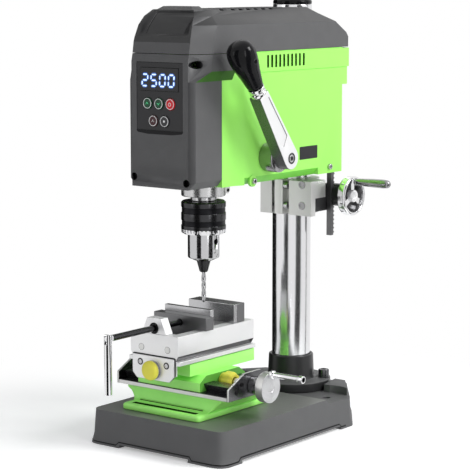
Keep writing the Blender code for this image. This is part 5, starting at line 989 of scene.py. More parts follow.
@dataclass
class ColumnStand:
    """The chromed column, its bolted foot and its cap."""

    y: float = 168.8
    radius: float = 23.0
    wall: float = 4.0
    seat: float = 33.8
    top: float = 494.0
    flange_radius: float = 48.0
    flange_top: float = 44.8
    socket_top: float = 74.0
    bolt_circle: float = 40.0
    bolt_radius: float = 6.5
    bolt_height: float = 9.5

    def build(self, model: Frame) -> None:
        """Build the foot, its bolts, the column and its cap.

        Args:
            model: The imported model.
        """
        centre = (0.0, self.y)
        tube = self.radius + 0.3
        foot = turned("column_foot_fine", Axis.Z, centre, [
            (tube, self.seat), (self.flange_radius, self.seat), (self.flange_radius, self.flange_top),
            (self.radius + 7.5, self.flange_top), (self.radius + 5.0, self.flange_top + 3.0),
            (self.radius + 3.8, self.socket_top), (tube, self.socket_top), (tube, self.seat)],
            1.6, 128)
        spots = []
        for index in range(3):
            turn = math.radians(30) + 2 * math.pi * index / 3
            spots.append((self.bolt_circle * math.cos(turn), self.y + self.bolt_circle * math.sin(turn)))
        for spot in spots:
            cut(foot, turned("spot_face", Axis.Z, spot, [(self.bolt_radius + 0.6, self.flange_top - 0.4),
                                                         (self.bolt_radius + 0.6, self.socket_top)], steps=32))
        dress(foot, FOOT_CAST, "frame", ["column_foot"])
        # Upward faces of the foot's flange get the lighter grey: painted light.
        paint(foot, CAST, lambda spot, normal: normal.z > 0.8 and spot.z < 46.0)
        column = turned("column_fine", Axis.Z, centre, [
            (self.radius - self.wall, self.seat), (self.radius, self.seat), (self.radius, self.top),
            (self.radius - self.wall, self.top)], 0.8, 160, closed=True)
        dress(column, COLUMN_CHROME, "frame", ["column"])
        cap = turned("column_cap_fine", Axis.Z, centre, [
            (0.0, self.top + 0.3), (self.radius, self.top + 0.3), (self.radius, self.top + 4.0),
            (self.radius - 2.5, self.top + 6.3), (self.radius - 7.0, self.top + 6.3),
            (self.radius - 8.0, self.top + 5.4), (0.0, self.top + 5.4)], 0.9, 128)
        dress(cap, GLOSS_BLACK, "frame", ["column_cap"])
        screw_heads("foot_bolts_fine", (self.bolt_radius, self.bolt_height),
                    [(*spot, self.flange_top + 0.3) for spot in spots], Axis.Z, DARK_STEEL, "frame",
                    ["foot_bolt_1", "foot_bolt_2", "foot_bolt_3"])


@dataclass
class Bracket:
    """The split clamp bracket with its screws and its pinion housing."""

    front: float = 137.0
    screw_line: float = 141.7
    screw_start: float = 10.0
    screw_heights: tuple[float, float] = (281.5, 257.8)
    plug_x: float = 37.9
    plug_heights: tuple[float, float] = (284.0, 259.5)

    def build(self, model: Frame) -> None:
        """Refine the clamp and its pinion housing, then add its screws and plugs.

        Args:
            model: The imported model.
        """
        model.refine("clamp_bracket", ALUMINIUM, 0.8, 3)
        model.refine("pinion_housing", FOOT_CAST, 0.8, 3)
        screw_heads("clamp_screws_fine", (4.2, 5.5),
                    [(self.screw_start, self.screw_line, z) for z in self.screw_heights], Axis.X, STEEL,
                    "bracket", ["clamp_screw_1", "clamp_screw_2"])
        screw_heads("bracket_set_screws", (4.8, 0.5),
                    [(self.plug_x, self.front, z) for z in self.plug_heights], Axis.Y, HUB_METAL,
                    "bracket")


@dataclass
class LiftDrive:
    """The pinion, the chromed handwheel with its crank, and the toothed rack."""

    y: float = 196.0
    z: float = 268.0
    start: float = 62.0
    width: float = 11.0
    radius: float = 23.5
    rim: float = 4.2
    crank_offset: float = 17.2
    crank_length: float = 49.0

    def build(self, model: Frame) -> None:
        """Build the handwheel and the crank handle, and refine the rest.

        Args:
            model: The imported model.
        """
        centre = (self.y, self.z)
        left, right = self.start, self.start + self.width
        inner = self.radius - self.rim
        rim = turned("lift_handwheel_fine", Axis.X, centre, [
            (inner, left), (self.radius - 1.2, left), (self.radius, left + 2.0), (self.radius, right - 1.6),
            (self.radius - 1.4, right), (inner + 0.6, right), (inner, right - 1.2)], 0.8, 128, closed=True)
        dress(rim, CHROME, "lift_wheel", ["lift_handwheel"])
        disc("lift_wheel_web", Axis.X, centre, inner + 0.4, left + 2.6, left + 4.4, JAW_BLACK, "lift_wheel")
        hub = turned("lift_wheel_hub", Axis.X, centre, [
            (0.0, left), (6.5, left), (6.5, left + 3.0), (7.4, left + 4.0), (7.4, right - 1.0),
            (6.0, right + 0.2), (3.4, right + 0.2), (2.8, right - 1.2), (0.0, right - 1.2)], 0.6, 64)
        dress(hub, SATIN_WHITE, "lift_wheel")
        work = bmesh.new()
        add_prism(work, Axis.X, [(5.5, -2.9), (inner + 0.6, -3.6), (inner + 0.6, 3.6), (5.5, 2.9)],
                  0.0, 3.6)
        spokes = Repeat("lift_wheel_spokes", small_shape("wheel_spoke", work), [(left + 4.2, *centre)] * 3,
                        [(math.radians(turn), 0.0, 0.0) for turn in (90, 210, 330)])
        dress(spokes.build(CHROME), CHROME, "lift_wheel")
        pin = (self.y, self.z + self.crank_offset)
        foot = right + 0.3
        end = foot + self.crank_length
        crank = turned("lift_crank_fine", Axis.X, pin, [
            (0.0, foot), (4.2, foot), (4.2, foot + 1.5), (3.4, foot + 3.0), (4.2, foot + 6.0),
            (5.1, foot + 26.0), (5.3, foot + 40.0), (4.6, end - 2.4), (2.2, end), (0.0, end)], 1.6, 64)
        dress(crank, HUB_METAL, "lift_crank", ["lift_crank_handle"])
        model.refine("lift_pinion", DARK_STEEL, 0.3)
        model.refine("height_rack", RACK_STEEL, 0.25)


@dataclass
class HeadBody:
    """The lime head casting with the small fittings on its side."""

    side: float = 52.0
    label_low: Point2 = (112.5, 316.5)
    label_high: Point2 = (147.5, 331.5)
    boss: Point2 = (22.0, 300.2)
    vent_low: Point2 = (46.5, 423.5)
    vent_high: Point2 = (122.0, 441.5)
    vent_inner: float = 44.0

    def in_vent(self, spot: Vector, normal: Vector) -> bool:
        """Tell whether a face is the wall or floor of a vent slot."""
        (near, low), (far, high) = self.vent_low, self.vent_high
        deep = self.vent_inner < abs(spot.x) < self.side - 0.2
        return near < spot.y < far and low < spot.z < high and deep

    def build(self, model: Frame) -> None:
        """Refine the casting and add the bare plate and the screws.

        Args:
            model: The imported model.
        """
        casting = model.refine("head_body", LIME, 0.9, 3)
        # Walls and floors of the head's vent slots get dark lime: painted shade.
        paint(casting, LIME_PAINTED_SHADE, self.in_vent)
        # Downward-facing chamfers of the head get darker lime: painted shade.
        paint(casting, LIME_CHAMFER_SHADE, lambda spot, normal: normal.z < -0.4 < 0.4 < abs(normal.x)
              and spot.z < 312.0)
        outline = round_outline([self.label_low, (self.label_high[0], self.label_low[1]), self.label_high,
                                 (self.label_low[0], self.label_high[1])], 1.0)
        plate = prism("side_plate", Axis.X, outline, self.side, self.side + 0.5, 0.15)
        dress(plate, PANEL, "head")
        screw_heads("head_screws", (3.4, 3.2),
                    [(self.side + 1.6, *self.boss), (self.side - 0.2, 172.0, 304.0)], Axis.X, STEEL,
                    "head")
        disc("side_boss", Axis.X, self.boss, 6.4, self.side - 1.5, self.side + 1.8, LIME, "head")
        # A black disc in the boss: painted shade of its bore.
        disc("boss_bore", Axis.X, self.boss, 1.9, self.side + 3.0, self.side + 4.4, BLACK_PARTS_AND_SHADE, "head")
        clip = prism("underside_clip", Axis.X, round_outline([
            (-17.0, 298.5), (-8.5, 298.5), (-8.5, 292.0), (-11.0, 288.6), (-15.5, 289.6)], 1.4),
            43.0, 44.6, 0.3)
        dress(clip, ALUMINIUM, "head")
        disc("clip_rivet", Axis.X, (-12.2, 292.6), 1.9, 44.4, 45.4, BLACK_PARTS_AND_SHADE, "head")
        model.refine("cord_gland", SHELL, 0.3)
        for node, finish in (("motor", DARK_STEEL), ("drive_belt", RUBBER), ("motor_pulley", ALUMINIUM),
                             ("spindle_pulley", ALUMINIUM)):
            model.finish(node, finish)


@dataclass
class Covers:
    """The charcoal front cover and the lid with its vents and its recess."""

    edge: float = 1.8
    front: float = -76.0
    well_radius: float = 4.3
    well_depths: Point2 = (6.0, 15.0)
    chamfer_start: float = 40.0
    wells: tuple[Point2, ...] = ((44.6, 432.6), (-44.6, 431.5), (37.0, 304.8), (-37.0, 308.0))
    recess_low: Point2 = (-25.0, 28.0)
    recess_high: Point2 = (-19.0, 38.0)
    recess_span: Point2 = (465.0, 488.6)
    recess_depth: float = 0.9
    lid_front: tuple[Point2, ...] = ((461.0, -71.0), (474.4, -66.0), (483.9, -59.9), (491.0, -52.0))
    vent_rows: tuple[float, ...] = (-12.0, 8.0, 22.0, 36.0, 50.0, 64.0, 78.0)

    def build(self, model: Frame) -> None:
        """Refine both shells, then sink the screw wells, the recess and the vents.

        Args:
            model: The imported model.
        """
        cover = model.refine("front_cover", SHELL, self.edge, 3)
        settle(cover)
        for x, z in self.wells:
            cut(cover, turned("well", Axis.Y, (x, z), [(self.well_radius, self.front - 4.0),
                                                       (self.well_radius, self._floor(x))], steps=40))
        # Black walls in the screw wells: painted shade.
        paint(cover, BLACK_PARTS_AND_SHADE, self.in_well)
        # The cover's downward-facing shoulder gets dark lime: painted shade.
        paint(cover, LIME_PAINTED_SHADE, lambda spot, normal: abs(normal.x) > 0.8 and normal.z < -0.3
              and 413.5 < spot.z < 425.5)
        # Black discs close the wells: painted shade at their floors.
        for index, (x, z) in enumerate(self.wells):
            floor = self._floor(x) - 0.6
            disc(f"well_floor_{index + 1}", Axis.Y, (x * 0.985, z), self.well_radius - 0.2,
                 floor, floor + 1.2, BLACK_PARTS_AND_SHADE, "head")
        # A black strip under the panel's lower edge: painted shade.
        lip = prism("panel_lip", Axis.Y, round_outline([
            (-33.4, 360.4), (-31.5, 357.8), (-17.0, 356.2), (17.0, 356.2), (31.5, 357.8),
            (33.4, 360.4)], 1.0), self.front - 0.25, self.front + 0.5, 0.2)
        dress(lip, BLACK_PARTS_AND_SHADE, "head")
        lid = model.refine("top_lid", SHELL, self.edge, 3)
        settle(lid)
        cut(lid, self._recess())
        work = bmesh.new()
        for y in self.vent_rows:
            for side in (-1.0, 1.0):
                near, far = side * 12.0, side * 34.0
                add_prism(work, Axis.Z, [(near, y), (far, y + 3.0), (far, y + 9.0), (near, y + 6.0)],
                          489.4, 493.0)
        cut(lid, to_object("lid_vents", work))
        # The lid's top faces get darker charcoal: painted shade.
        paint(lid, SHELL_TOP_SHADE, lambda spot, normal: normal.z > 0.45 and spot.z > 470.0)
        # Darker charcoal on the lid's front and its side facets: painted shade.
        paint(lid, SHELL_FRONT_SHADE, lambda spot, normal: spot.z > 457.0 and normal.z > -0.2
              and (normal.y < -0.5 or (abs(normal.x) > 0.3 and normal.y < -0.15 and normal.z > 0.5)))
        # Black walls and floors in the lid's vents: painted shade.
        paint(lid, BLACK_PARTS_AND_SHADE, lambda spot, normal: 489.0 < spot.z < 490.9 and 10.0 < abs(spot.x) < 35.0
              and self.vent_rows[0] - 1.0 < spot.y < self.vent_rows[-1] + 10.0 and abs(normal.x) < 0.55)

    def _floor(self, x: float) -> float:
        """Return the floor of a screw well, deeper on the cover's chamfer."""
        return self.front + self.well_depths[abs(x) > self.chamfer_start]

    def in_well(self, spot: Vector, normal: Vector) -> bool:
        """Tell whether a face is the wall of a screw well."""
        near = any(math.hypot(spot.x - x, spot.z - z) < self.well_radius + 0.1 for x, z in self.wells)
        return near and abs(normal.y) < 0.1 and spot.y < self.front + 16.0

    def _surface(self, z: float) -> float:
        """Return the place of the lid's front face at a height.

        Args:
            z: The height.

        Returns:
            The face's Y.
        """
        for (low, near), (high, far) in zip(self.lid_front, self.lid_front[1:]):
            if z <= high:
                return near + (far - near) * (z - low) / (high - low)
        return self.lid_front[-1][1]

    def _recess(self) -> bpy.types.Object:
        """Return the cutter of the shallow recess on the lid's leaning front.

        Returns:
            The cutter.
        """
        low, high = self.recess_span
        work = bmesh.new()
        rows = []
        for z in (low, 474.4, 483.9, high):
            share = (z - low) / (high - low)
            left = self.recess_low[0] + (self.recess_high[0] - self.recess_low[0]) * share
            right = self.recess_low[1] + (self.recess_high[1] - self.recess_low[1]) * share
            back = self._surface(z) + self.recess_depth
            rows.append([work.verts.new(spot) for spot in
                         ((left, -90.0, z), (right, -90.0, z), (right, back, z), (left, back, z))])
        add_loft(work, rows)
        return to_object("lid_recess", work)


class Mark(Enum):
    """The generic marks on the panel's buttons."""

    UP = "up"
    DOWN = "down"
    POWER = "power"
    STOP = "stop"
    MODE = "mode"


@dataclass
class ControlPanel:
    """The panel film, the display with its digits, and the five buttons."""

    front: float = -76.0
    speed: str = "2500"
    digit_height: float = 12.6
    digit_width: float = 7.6
    digit_pitch: float = 12.4
    digit_middle: float = -2.2
    digit_low: float = 408.6
    stroke: float = 1.5
    halo: float = 1.1
    slant: float = 0.06
    button_radius: float = 6.3
    key_radius: float = 4.3
    key_proud: float = 1.0
    ring_gap: float = 0.75
    ring_width: float = 0.6
    buttons: dict[str, tuple[Point2, Mark]] = field(default_factory=lambda: {
        "button_up": ((-16.7, 389.6), Mark.UP),
        "button_down": ((-0.7, 389.6), Mark.DOWN),
        "button_power": ((15.3, 389.6), Mark.POWER),
        "button_stop": ((-8.7, 370.7), Mark.STOP),
        "button_mode": ((7.3, 370.7), Mark.MODE),
    })

    def build(self, model: Frame) -> None:
        """Build the panel's film, the digits and the buttons.

        Args:
            model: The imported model.
        """
        model.refine("control_panel", PANEL, 0.25)
        model.refine("display_window", PANEL, 0.2)
        self._digits()
        for node, (spot, mark) in self.buttons.items():
            self._button(model, node, spot, mark)

    def _digits(self) -> None:
        """Build the lit digits from seven-segment strokes."""
        lit = {"2": "abged", "5": "afgcd", "0": "abcdef"}
        width, height, half = self.digit_width, self.digit_height, self.digit_height / 2
        runs = {"a": ((0, height), (width, height)), "g": ((0, half), (width, half)),
                "d": ((0, 0), (width, 0)), "f": ((0, half), (0, height)),
                "b": ((width, half), (width, height)), "e": ((0, 0), (0, half)),
                "c": ((width, 0), (width, half))}
        start = self.digit_middle - self.digit_pitch * 2 + (self.digit_pitch - self.digit_width) / 2
        # The wider blue strokes round the digits are painted glow.
        for name, finish, grow, proud in (("display_halo", PAINTED_GLOW, self.halo, 0.06),
                                          ("display_digits", DIGITS, 0.0, 0.12)):
            work = bmesh.new()
            for index, digit in enumerate(self.speed):
                for segment in lit[digit]:
                    self._stroke(work, start + index * self.digit_pitch, grow, proud, *runs[segment])
            dress(to_object(name, work), finish, "head")

    def _stroke(self, work: bmesh.types.BMesh, left: float, grow: float, proud: float, low: Point2,
                high: Point2) -> None:
        """Add one pointed segment of a digit.

        Args:
            work: Mesh that receives the segment.
            left: Left edge of the digit.
            grow: Width that the halo adds on each side.
            proud: Height of the segment over the window.
            low: One end of the segment's middle line.
            high: The other end.
        """
        half = self.stroke / 2 + grow
        (x0, z0), (x1, z1) = low, high
        x0, x1 = x0 + left, x1 + left
        z0, z1 = z0 + self.digit_low, z1 + self.digit_low
        gap = self.stroke * 0.58 - grow
        if z0 == z1:
            outline = [(x0 + gap, z0), (x0 + gap + half, z0 + half), (x1 - gap - half, z0 + half),
                       (x1 - gap, z0), (x1 - gap - half, z0 - half), (x0 + gap + half, z0 - half)]
        else:
            outline = [(x0, z0 + gap), (x0 - half, z0 + gap + half), (x0 - half, z1 - gap - half),
                       (x0, z1 - gap), (x0 + half, z1 - gap - half), (x0 + half, z0 + gap + half)]
        leaning = [(x + (z - self.digit_low) * self.slant, z) for x, z in outline]
        add_prism(work, Axis.Y, leaning, self.front - proud, self.front + 0.05)

    def _button(self, model: Frame, node: str, spot: Point2, mark: Mark) -> None:
        """Build one button with its white ring, its key and its mark.

        Args:
            model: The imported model.
            node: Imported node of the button.
            spot: Its middle, in X and Z.
            mark: Its mark.
        """
        finishes = {Mark.UP: GREEN_KEY, Mark.DOWN: GREEN_KEY, Mark.POWER: RED_KEY,
                    Mark.STOP: DULL_RED_KEY, Mark.MODE: GREY_KEY}
        face = self.front - self.key_proud
        inner = self.key_radius + self.ring_gap
        outer = inner + self.ring_width
        key = turned(f"{node}_fine", Axis.Y, spot, [
            (0.0, face - 0.25), (self.key_radius * 0.7, face - 0.2), (self.key_radius, face + 0.1),
            (self.button_radius - 0.6, face + 0.15), (self.button_radius, face + 0.6),
            (self.button_radius, self.front + 4.0)], 0.25, 64)
        body = model.body_of(node)
        model.swap(key, finishes[mark], node)
        ring = turned(f"{node}_ring", Axis.Y, spot, [
            (inner, face - 0.18), (outer, face - 0.18), (outer, face + 0.35), (inner, face + 0.35)],
            0.1, 64, closed=True)
        dress(ring, MARK_WHITE, body)
        sign = bmesh.new()
        for outline in self._sign(mark):
            add_prism(sign, Axis.Y, [(spot[0] + x, spot[1] + z) for x, z in outline], face - 0.36,
                      face - 0.18)
        ink = MARK_GREEN if mark in (Mark.UP, Mark.DOWN) else MARK_WHITE
        dress(to_object(f"{node}_mark", sign), ink, body)

    @staticmethod
    def _sign(mark: Mark) -> list[list[Point2]]:
        """Return the outlines of a button's mark about its middle.

        Args:
            mark: The mark.

        Returns:
            Its outlines.
        """
        if mark is Mark.UP:
            return [[(-2.0, -1.0), (-1.2, -1.0), (0.0, 0.6), (1.2, -1.0), (2.0, -1.0), (0.0, 1.7)]]
        if mark is Mark.DOWN:
            return [[(-2.0, 1.0), (0.0, -1.7), (2.0, 1.0), (1.2, 1.0), (0.0, -0.6), (-1.2, 1.0)]]
        if mark is Mark.POWER:
            arc = [(2.0, math.radians(60 - 300 * step / 16)) for step in range(17)]
            outer = [(radius * math.cos(turn), radius * math.sin(turn) - 0.2) for radius, turn in arc]
            inner = [(x * 0.72, (z + 0.2) * 0.72 - 0.2) for x, z in reversed(outer)]
            return [outer + inner, [(-0.3, 0.2), (0.3, 0.2), (0.3, 2.2), (-0.3, 2.2)]]
        if mark is Mark.STOP:
            return [[(-1.6, -1.2), (-1.2, -1.2), (0.0, 0.9), (1.2, -1.2), (1.6, -1.2), (0.0, 1.6)]]
        return [[(1.3 * math.cos(math.pi * step / 8), 1.3 * math.sin(math.pi * step / 8))
                 for step in range(16)]]


@dataclass
class FeedLever:
    """The feed lever with its hub, recessed arm, collar and grip."""

    y: float = 50.3
    z: float = 325.3
    tilt: float = 35.0
    hub_start: float = 52.3
    hub_end: float = 72.0
    arm_end: float = 86.0
    hub_radius: float = 16.8
    arm_length: float = 90.0
    root_radius: float = 12.5
    tip_radius: float = 8.2
    grip_start: float = 101.0
    grip_end: float = 159.5
    grip_radius: float = 16.3
    hole_along: float = 135.5

    def spin(self, piece: bpy.types.Object) -> None:
        """Tilt a piece that was built upright about the lever's axis.

        Args:
            piece: The piece.
        """
        pivot = place(0.0, self.y, self.z)
        turn = Matrix.Rotation(math.radians(self.tilt), 4, "X")
        piece.data.transform(Matrix.Translation(pivot) @ turn @ Matrix.Translation(-pivot))

    def blade(self) -> list[Point2]:
        """Return the arm's upright outline in Y and Z.

        Returns:
            The outline, with a round root and a straight upper end.
        """
        root, tip = self.root_radius, self.tip_radius
        turns = [math.pi * step / 24 for step in range(25)]
        arc = [(self.y - root * math.cos(turn), self.z - root * math.sin(turn)) for turn in turns]
        top = self.z + self.arm_length
        return [*arc, (self.y + tip, top), (self.y - tip, top)]

    def window(self) -> list[Point2]:
        """Return the outline of the arm's long recess, which starts above the hub.

        Returns:
            The upright outline in Y and Z.
        """
        low, high = self.z + 19.0, self.z + self.arm_length - 7.0
        slope = (self.root_radius - self.tip_radius) / self.arm_length
        wide, slim = self.root_radius - 19.0 * slope - 3.6, self.tip_radius - 2.6
        return [(self.y - wide * 0.55, low), (self.y + wide, low + 7.0), (self.y + slim, high),
                (self.y - slim, high - 5.0), (self.y - wide, low + 7.0)]

    def build(self, model: Frame) -> None:
        """Build the hub, the arm, its screw, the collar and the grip.

        Args:
            model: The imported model.
        """
        hub = turned("lever_hub", Axis.X, (self.y, self.z), [
            (0.0, self.hub_start), (self.hub_radius, self.hub_start), (self.hub_radius, self.hub_end - 2.0),
            (self.hub_radius - 3.5, self.hub_end), (0.0, self.hub_end)], 1.0, 96)
        dress(hub, HUB_METAL, "lever")
        self._arm()
        self._arm_screw()
        middle = (self.hub_end + self.arm_end) / 2
        collar = turned("lever_collar_fine", Axis.Z, (middle, self.y), [
            (0.0, self.z + 90.3), (9.4, self.z + 90.3), (9.4, self.z + 93.4), (8.2, self.z + 94.2),
            (8.2, self.z + 96.0), (9.4, self.z + 96.8), (9.4, self.z + 100.2),
            (0.0, self.z + 100.2)], 0.5, 96)
        self.spin(collar)
        dress(collar, CHROME, "lever", ["lever_collar"])
        self._grip(middle)
        model.finish("feed_pinion", STEEL)

    def _arm(self) -> None:
        """Build the arm: dark edges, a polished face and a shallow recess."""
        arm = prism("feed_lever_fine", Axis.X, self.blade(), self.hub_end - 1.0, self.arm_end)
        recess = prism("arm_recess", Axis.X, round_outline(self.window(), 1.2, 2), self.arm_end - 0.8,
                       self.arm_end + 1.0)
        self.spin(arm)
        self.spin(recess)
        cut(arm, recess)
        dress(arm, ARM_EDGE, "lever", ["feed_lever"])
        paint(arm, SATIN_WHITE, lambda spot, normal: normal.x > 0.9 and spot.x > self.arm_end - 0.9)
        soften(arm, 0.7, 3)

    def _arm_screw(self) -> None:
        """Build the socket screw that holds the arm on its hub."""
        ring = turned("arm_screw_ring", Axis.X, (self.y, self.z), [
            (4.2, self.arm_end - 0.2), (6.4, self.arm_end - 0.2), (6.4, self.arm_end + 0.35),
            (4.2, self.arm_end + 0.35)], 0.12, 48, closed=True)
        dress(ring, DARK_STEEL, "lever")
        screw_heads("arm_screw", (3.6, 0.7), [(self.arm_end - 0.1, self.y, self.z)], Axis.X, STEEL, "lever")
        # A black disc in the screw's socket: painted shade.
        disc("arm_screw_bore", Axis.X, (self.y, self.z), 2.2, self.arm_end + 0.2, self.arm_end + 0.75, BLACK_PARTS_AND_SHADE,
             "lever")

    def _grip(self, middle: float) -> None:
        """Build the pear-shaped grip with its three ridges and its cross hole.

        Args:
            middle: Place of the grip's axis, in X.
        """
        span, wide_radius = self.grip_end - self.grip_start, self.grip_radius
        shares = ((0.0, 0.0), (0.50, 0.0), (0.58, 0.03), (0.66, 0.17), (0.79, 0.36), (0.93, 0.53),
                  (1.0, 0.68), (0.96, 0.81), (0.80, 0.92), (0.46, 0.985), (0.0, 1.0))
        outline = [(wide_radius * wide, self.z + self.grip_start + span * along) for wide, along in shares]
        grip = turned("lever_grip_fine", Axis.Z, (middle, self.y), outline, 9.0, 96)
        hole = turned("grip_hole", Axis.X, (self.y, self.z + self.hole_along),
                      [(2.6, middle + 6.0), (2.6, middle + 20.0)], steps=32)
        cut(grip, hole)
        self.spin(grip)
        dress(grip, GLOSS_BLACK, "lever", ["lever_grip"])
        for index in range(3):
            along = self.z + self.grip_start + span * (0.10 + 0.055 * index)
            radius = wide_radius * (0.615 + 0.032 * index)
            ridge = turned(f"grip_ridge_{index + 1}", Axis.Z, (middle, self.y), [
                (radius - 0.7, along - 0.8), (radius + 0.35, along), (radius - 0.7, along + 0.8)],
                0.3, 72, closed=True)
            self.spin(ridge)
            dress(ridge, GLOSS_BLACK, "lever")


@dataclass
class SpindleGroup:
    """The quill, the spindle, the keyed chuck and the twist bit."""

    sleeve_low: float = 239.3
    sleeve_high: float = 276.6
    sleeve_radius: float = 25.4
    body_radius: float = 18.0
    body_low: float = 211.8
    nose_low: float = 208.3
    mouth: float = 8.3
    bands: tuple[Point2, ...] = ((249.0, 255.0), (263.2, 269.9))
    jaw_low: float = 195.0
    jaw_high: float = 220.0
    jaw_tip: float = 4.5
    jaw_bore: float = 2.85
    lean: float = 0.268
    teeth: int = 36

    def build(self, model: Frame) -> None:
        """Build the quill, the sleeve, the chuck and its jaws, and refine the rest.

        Args:
            model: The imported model.
        """
        origin = (0.0, 0.0)
        quill = turned("quill_fine", Axis.Z, origin, [
            (6.3, 282.0), (24.2, 282.0), (25.2, 283.0), (25.2, 400.0), (6.3, 400.0)], 0.5, 128, closed=True)
        dress(quill, QUILL_STEEL, "quill", ["quill"])
        model.refine("spindle", STEEL, 0.5)
        sleeve = turned("chuck_sleeve_fine", Axis.Z, origin, self._sleeve_profile(), 0.35, 144, closed=True)
        dress(sleeve, BLACK_CHROME, "sleeve", ["chuck_sleeve"])
        paint(sleeve, BLACK_SATIN, lambda spot, normal: math.hypot(spot.x, spot.y) > 24.0
              and any(low < spot.z < high for low, high in self.bands))
        paint(sleeve, CHROME, lambda spot, normal: spot.z < self.sleeve_low + 4.6)
        teeth = Repeat("chuck_teeth_fine", self._tooth(), *self._tooth_spots()).build(CHROME)
        dress(teeth, CHROME, "sleeve")
        body = turned("chuck_body_fine", Axis.Z, origin, [
            (self.mouth, self.nose_low), (self.mouth + 1.0, self.nose_low),
            (self.body_radius - 0.6, self.body_low), (self.body_radius, self.body_low + 1.2),
            (self.body_radius, 272.9), (6.3, 272.9), (6.3, 253.0),
            (4.5, 253.0), (4.5, 226.0), (self.mouth + (226.0 - self.nose_low) * self.lean, 226.0)],
            0.4, 144, closed=True)
        cut(body, turned("key_bore", Axis.X, (0.0, 231.0), [(3.5, 13.5), (3.5, 22.0)], steps=32))
        dress(body, CHUCK_STEEL, "spindle", ["chuck_body"])
        # Black walls in the key bore: painted shade.
        paint(body, BLACK_PARTS_AND_SHADE, lambda spot, normal: spot.x > 13.0 and math.hypot(spot.y, spot.z - 231.0) < 3.6
              and math.hypot(spot.x, spot.y) < self.body_radius - 0.05)
        for index in range(3):
            self._jaw(model, f"chuck_jaw_{index + 1}")
        bit = model.refine("drill_bit", STEEL, 0.0)
        paint(bit, DARK_STEEL, lambda spot, normal: spot.z < 190.0 and math.hypot(spot.x, spot.y) < 1.9)

    def _jaw(self, model: Frame, node: str) -> None:
        """Build one wedge-shaped jaw in place of its plain solid.

        Args:
            model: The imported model.
            node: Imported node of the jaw, whose box tells which way it faces.
        """
        low, high = map(Vector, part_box(node))
        middle = math.atan2((low.y + high.y) / 2 - SPINDLE_PLACE.y, (low.x + high.x) / 2 - SPINDLE_PLACE.x)
        work = bmesh.new()
        rows = []
        for z in (self.jaw_low, self.jaw_low + 1.2, self.jaw_high):
            outer = self.jaw_tip + (z - self.jaw_low) * self.lean - (0.5 if z == self.jaw_low else 0.0)
            ring = []
            for radius, steps in ((self.jaw_bore, range(9)), (outer, range(8, -1, -1))):
                half = math.pi / 3 - math.asin(min(0.9, 0.42 / radius))
                for turn in [middle + half * (step / 4 - 1) for step in steps]:
                    ring.append(work.verts.new((radius * math.cos(turn), radius * math.sin(turn), z)))
            rows.append(ring)
        add_loft(work, rows)
        model.swap(to_object(f"{node}_fine", work), JAW_BLACK, node)

    def _sleeve_profile(self) -> list[Point2]:
        """Return the sleeve's outline with its two shallow bands.

        Returns:
            The outline.
        """
        low, high, wide = self.sleeve_low, self.sleeve_high, self.sleeve_radius
        shape = [(18.3, low), (wide - 2.6, low), (wide - 2.6, low + 4.4), (wide, low + 5.4)]
        for start, end in self.bands:
            shape += [(wide, start), (wide - 0.7, start + 0.3), (wide - 0.7, end - 0.3), (wide, end)]
        return [*shape, (wide, high - 1.6), (wide - 1.6, high), (6.3, high), (6.3, high - 3.3),
                (18.3, high - 3.3)]

    def _tooth(self) -> bpy.types.Object:
        """Make one key tooth that points down and looks along +X.

        Returns:
            The tooth.
        """
        work = bmesh.new()
        add_prism(work, Axis.X, [(-1.35, 0.0), (1.35, 0.0), (0.75, -4.2), (-0.75, -4.2)], -2.4, 0.0)
        return small_shape("key_tooth", work)

    def _tooth_spots(self) -> tuple[list[Point3], list[Point3]]:
        """Return the places and turns of the key teeth.

        Returns:
            The places and the turns.
        """
        spots, turns = [], []
        for index in range(self.teeth):
            turn = 2 * math.pi * index / self.teeth
            spots.append((self.sleeve_radius * math.cos(turn), self.sleeve_radius * math.sin(turn),
                          self.sleeve_low + 5.6))
            turns.append((0.0, 0.0, turn))
        return spots, turns


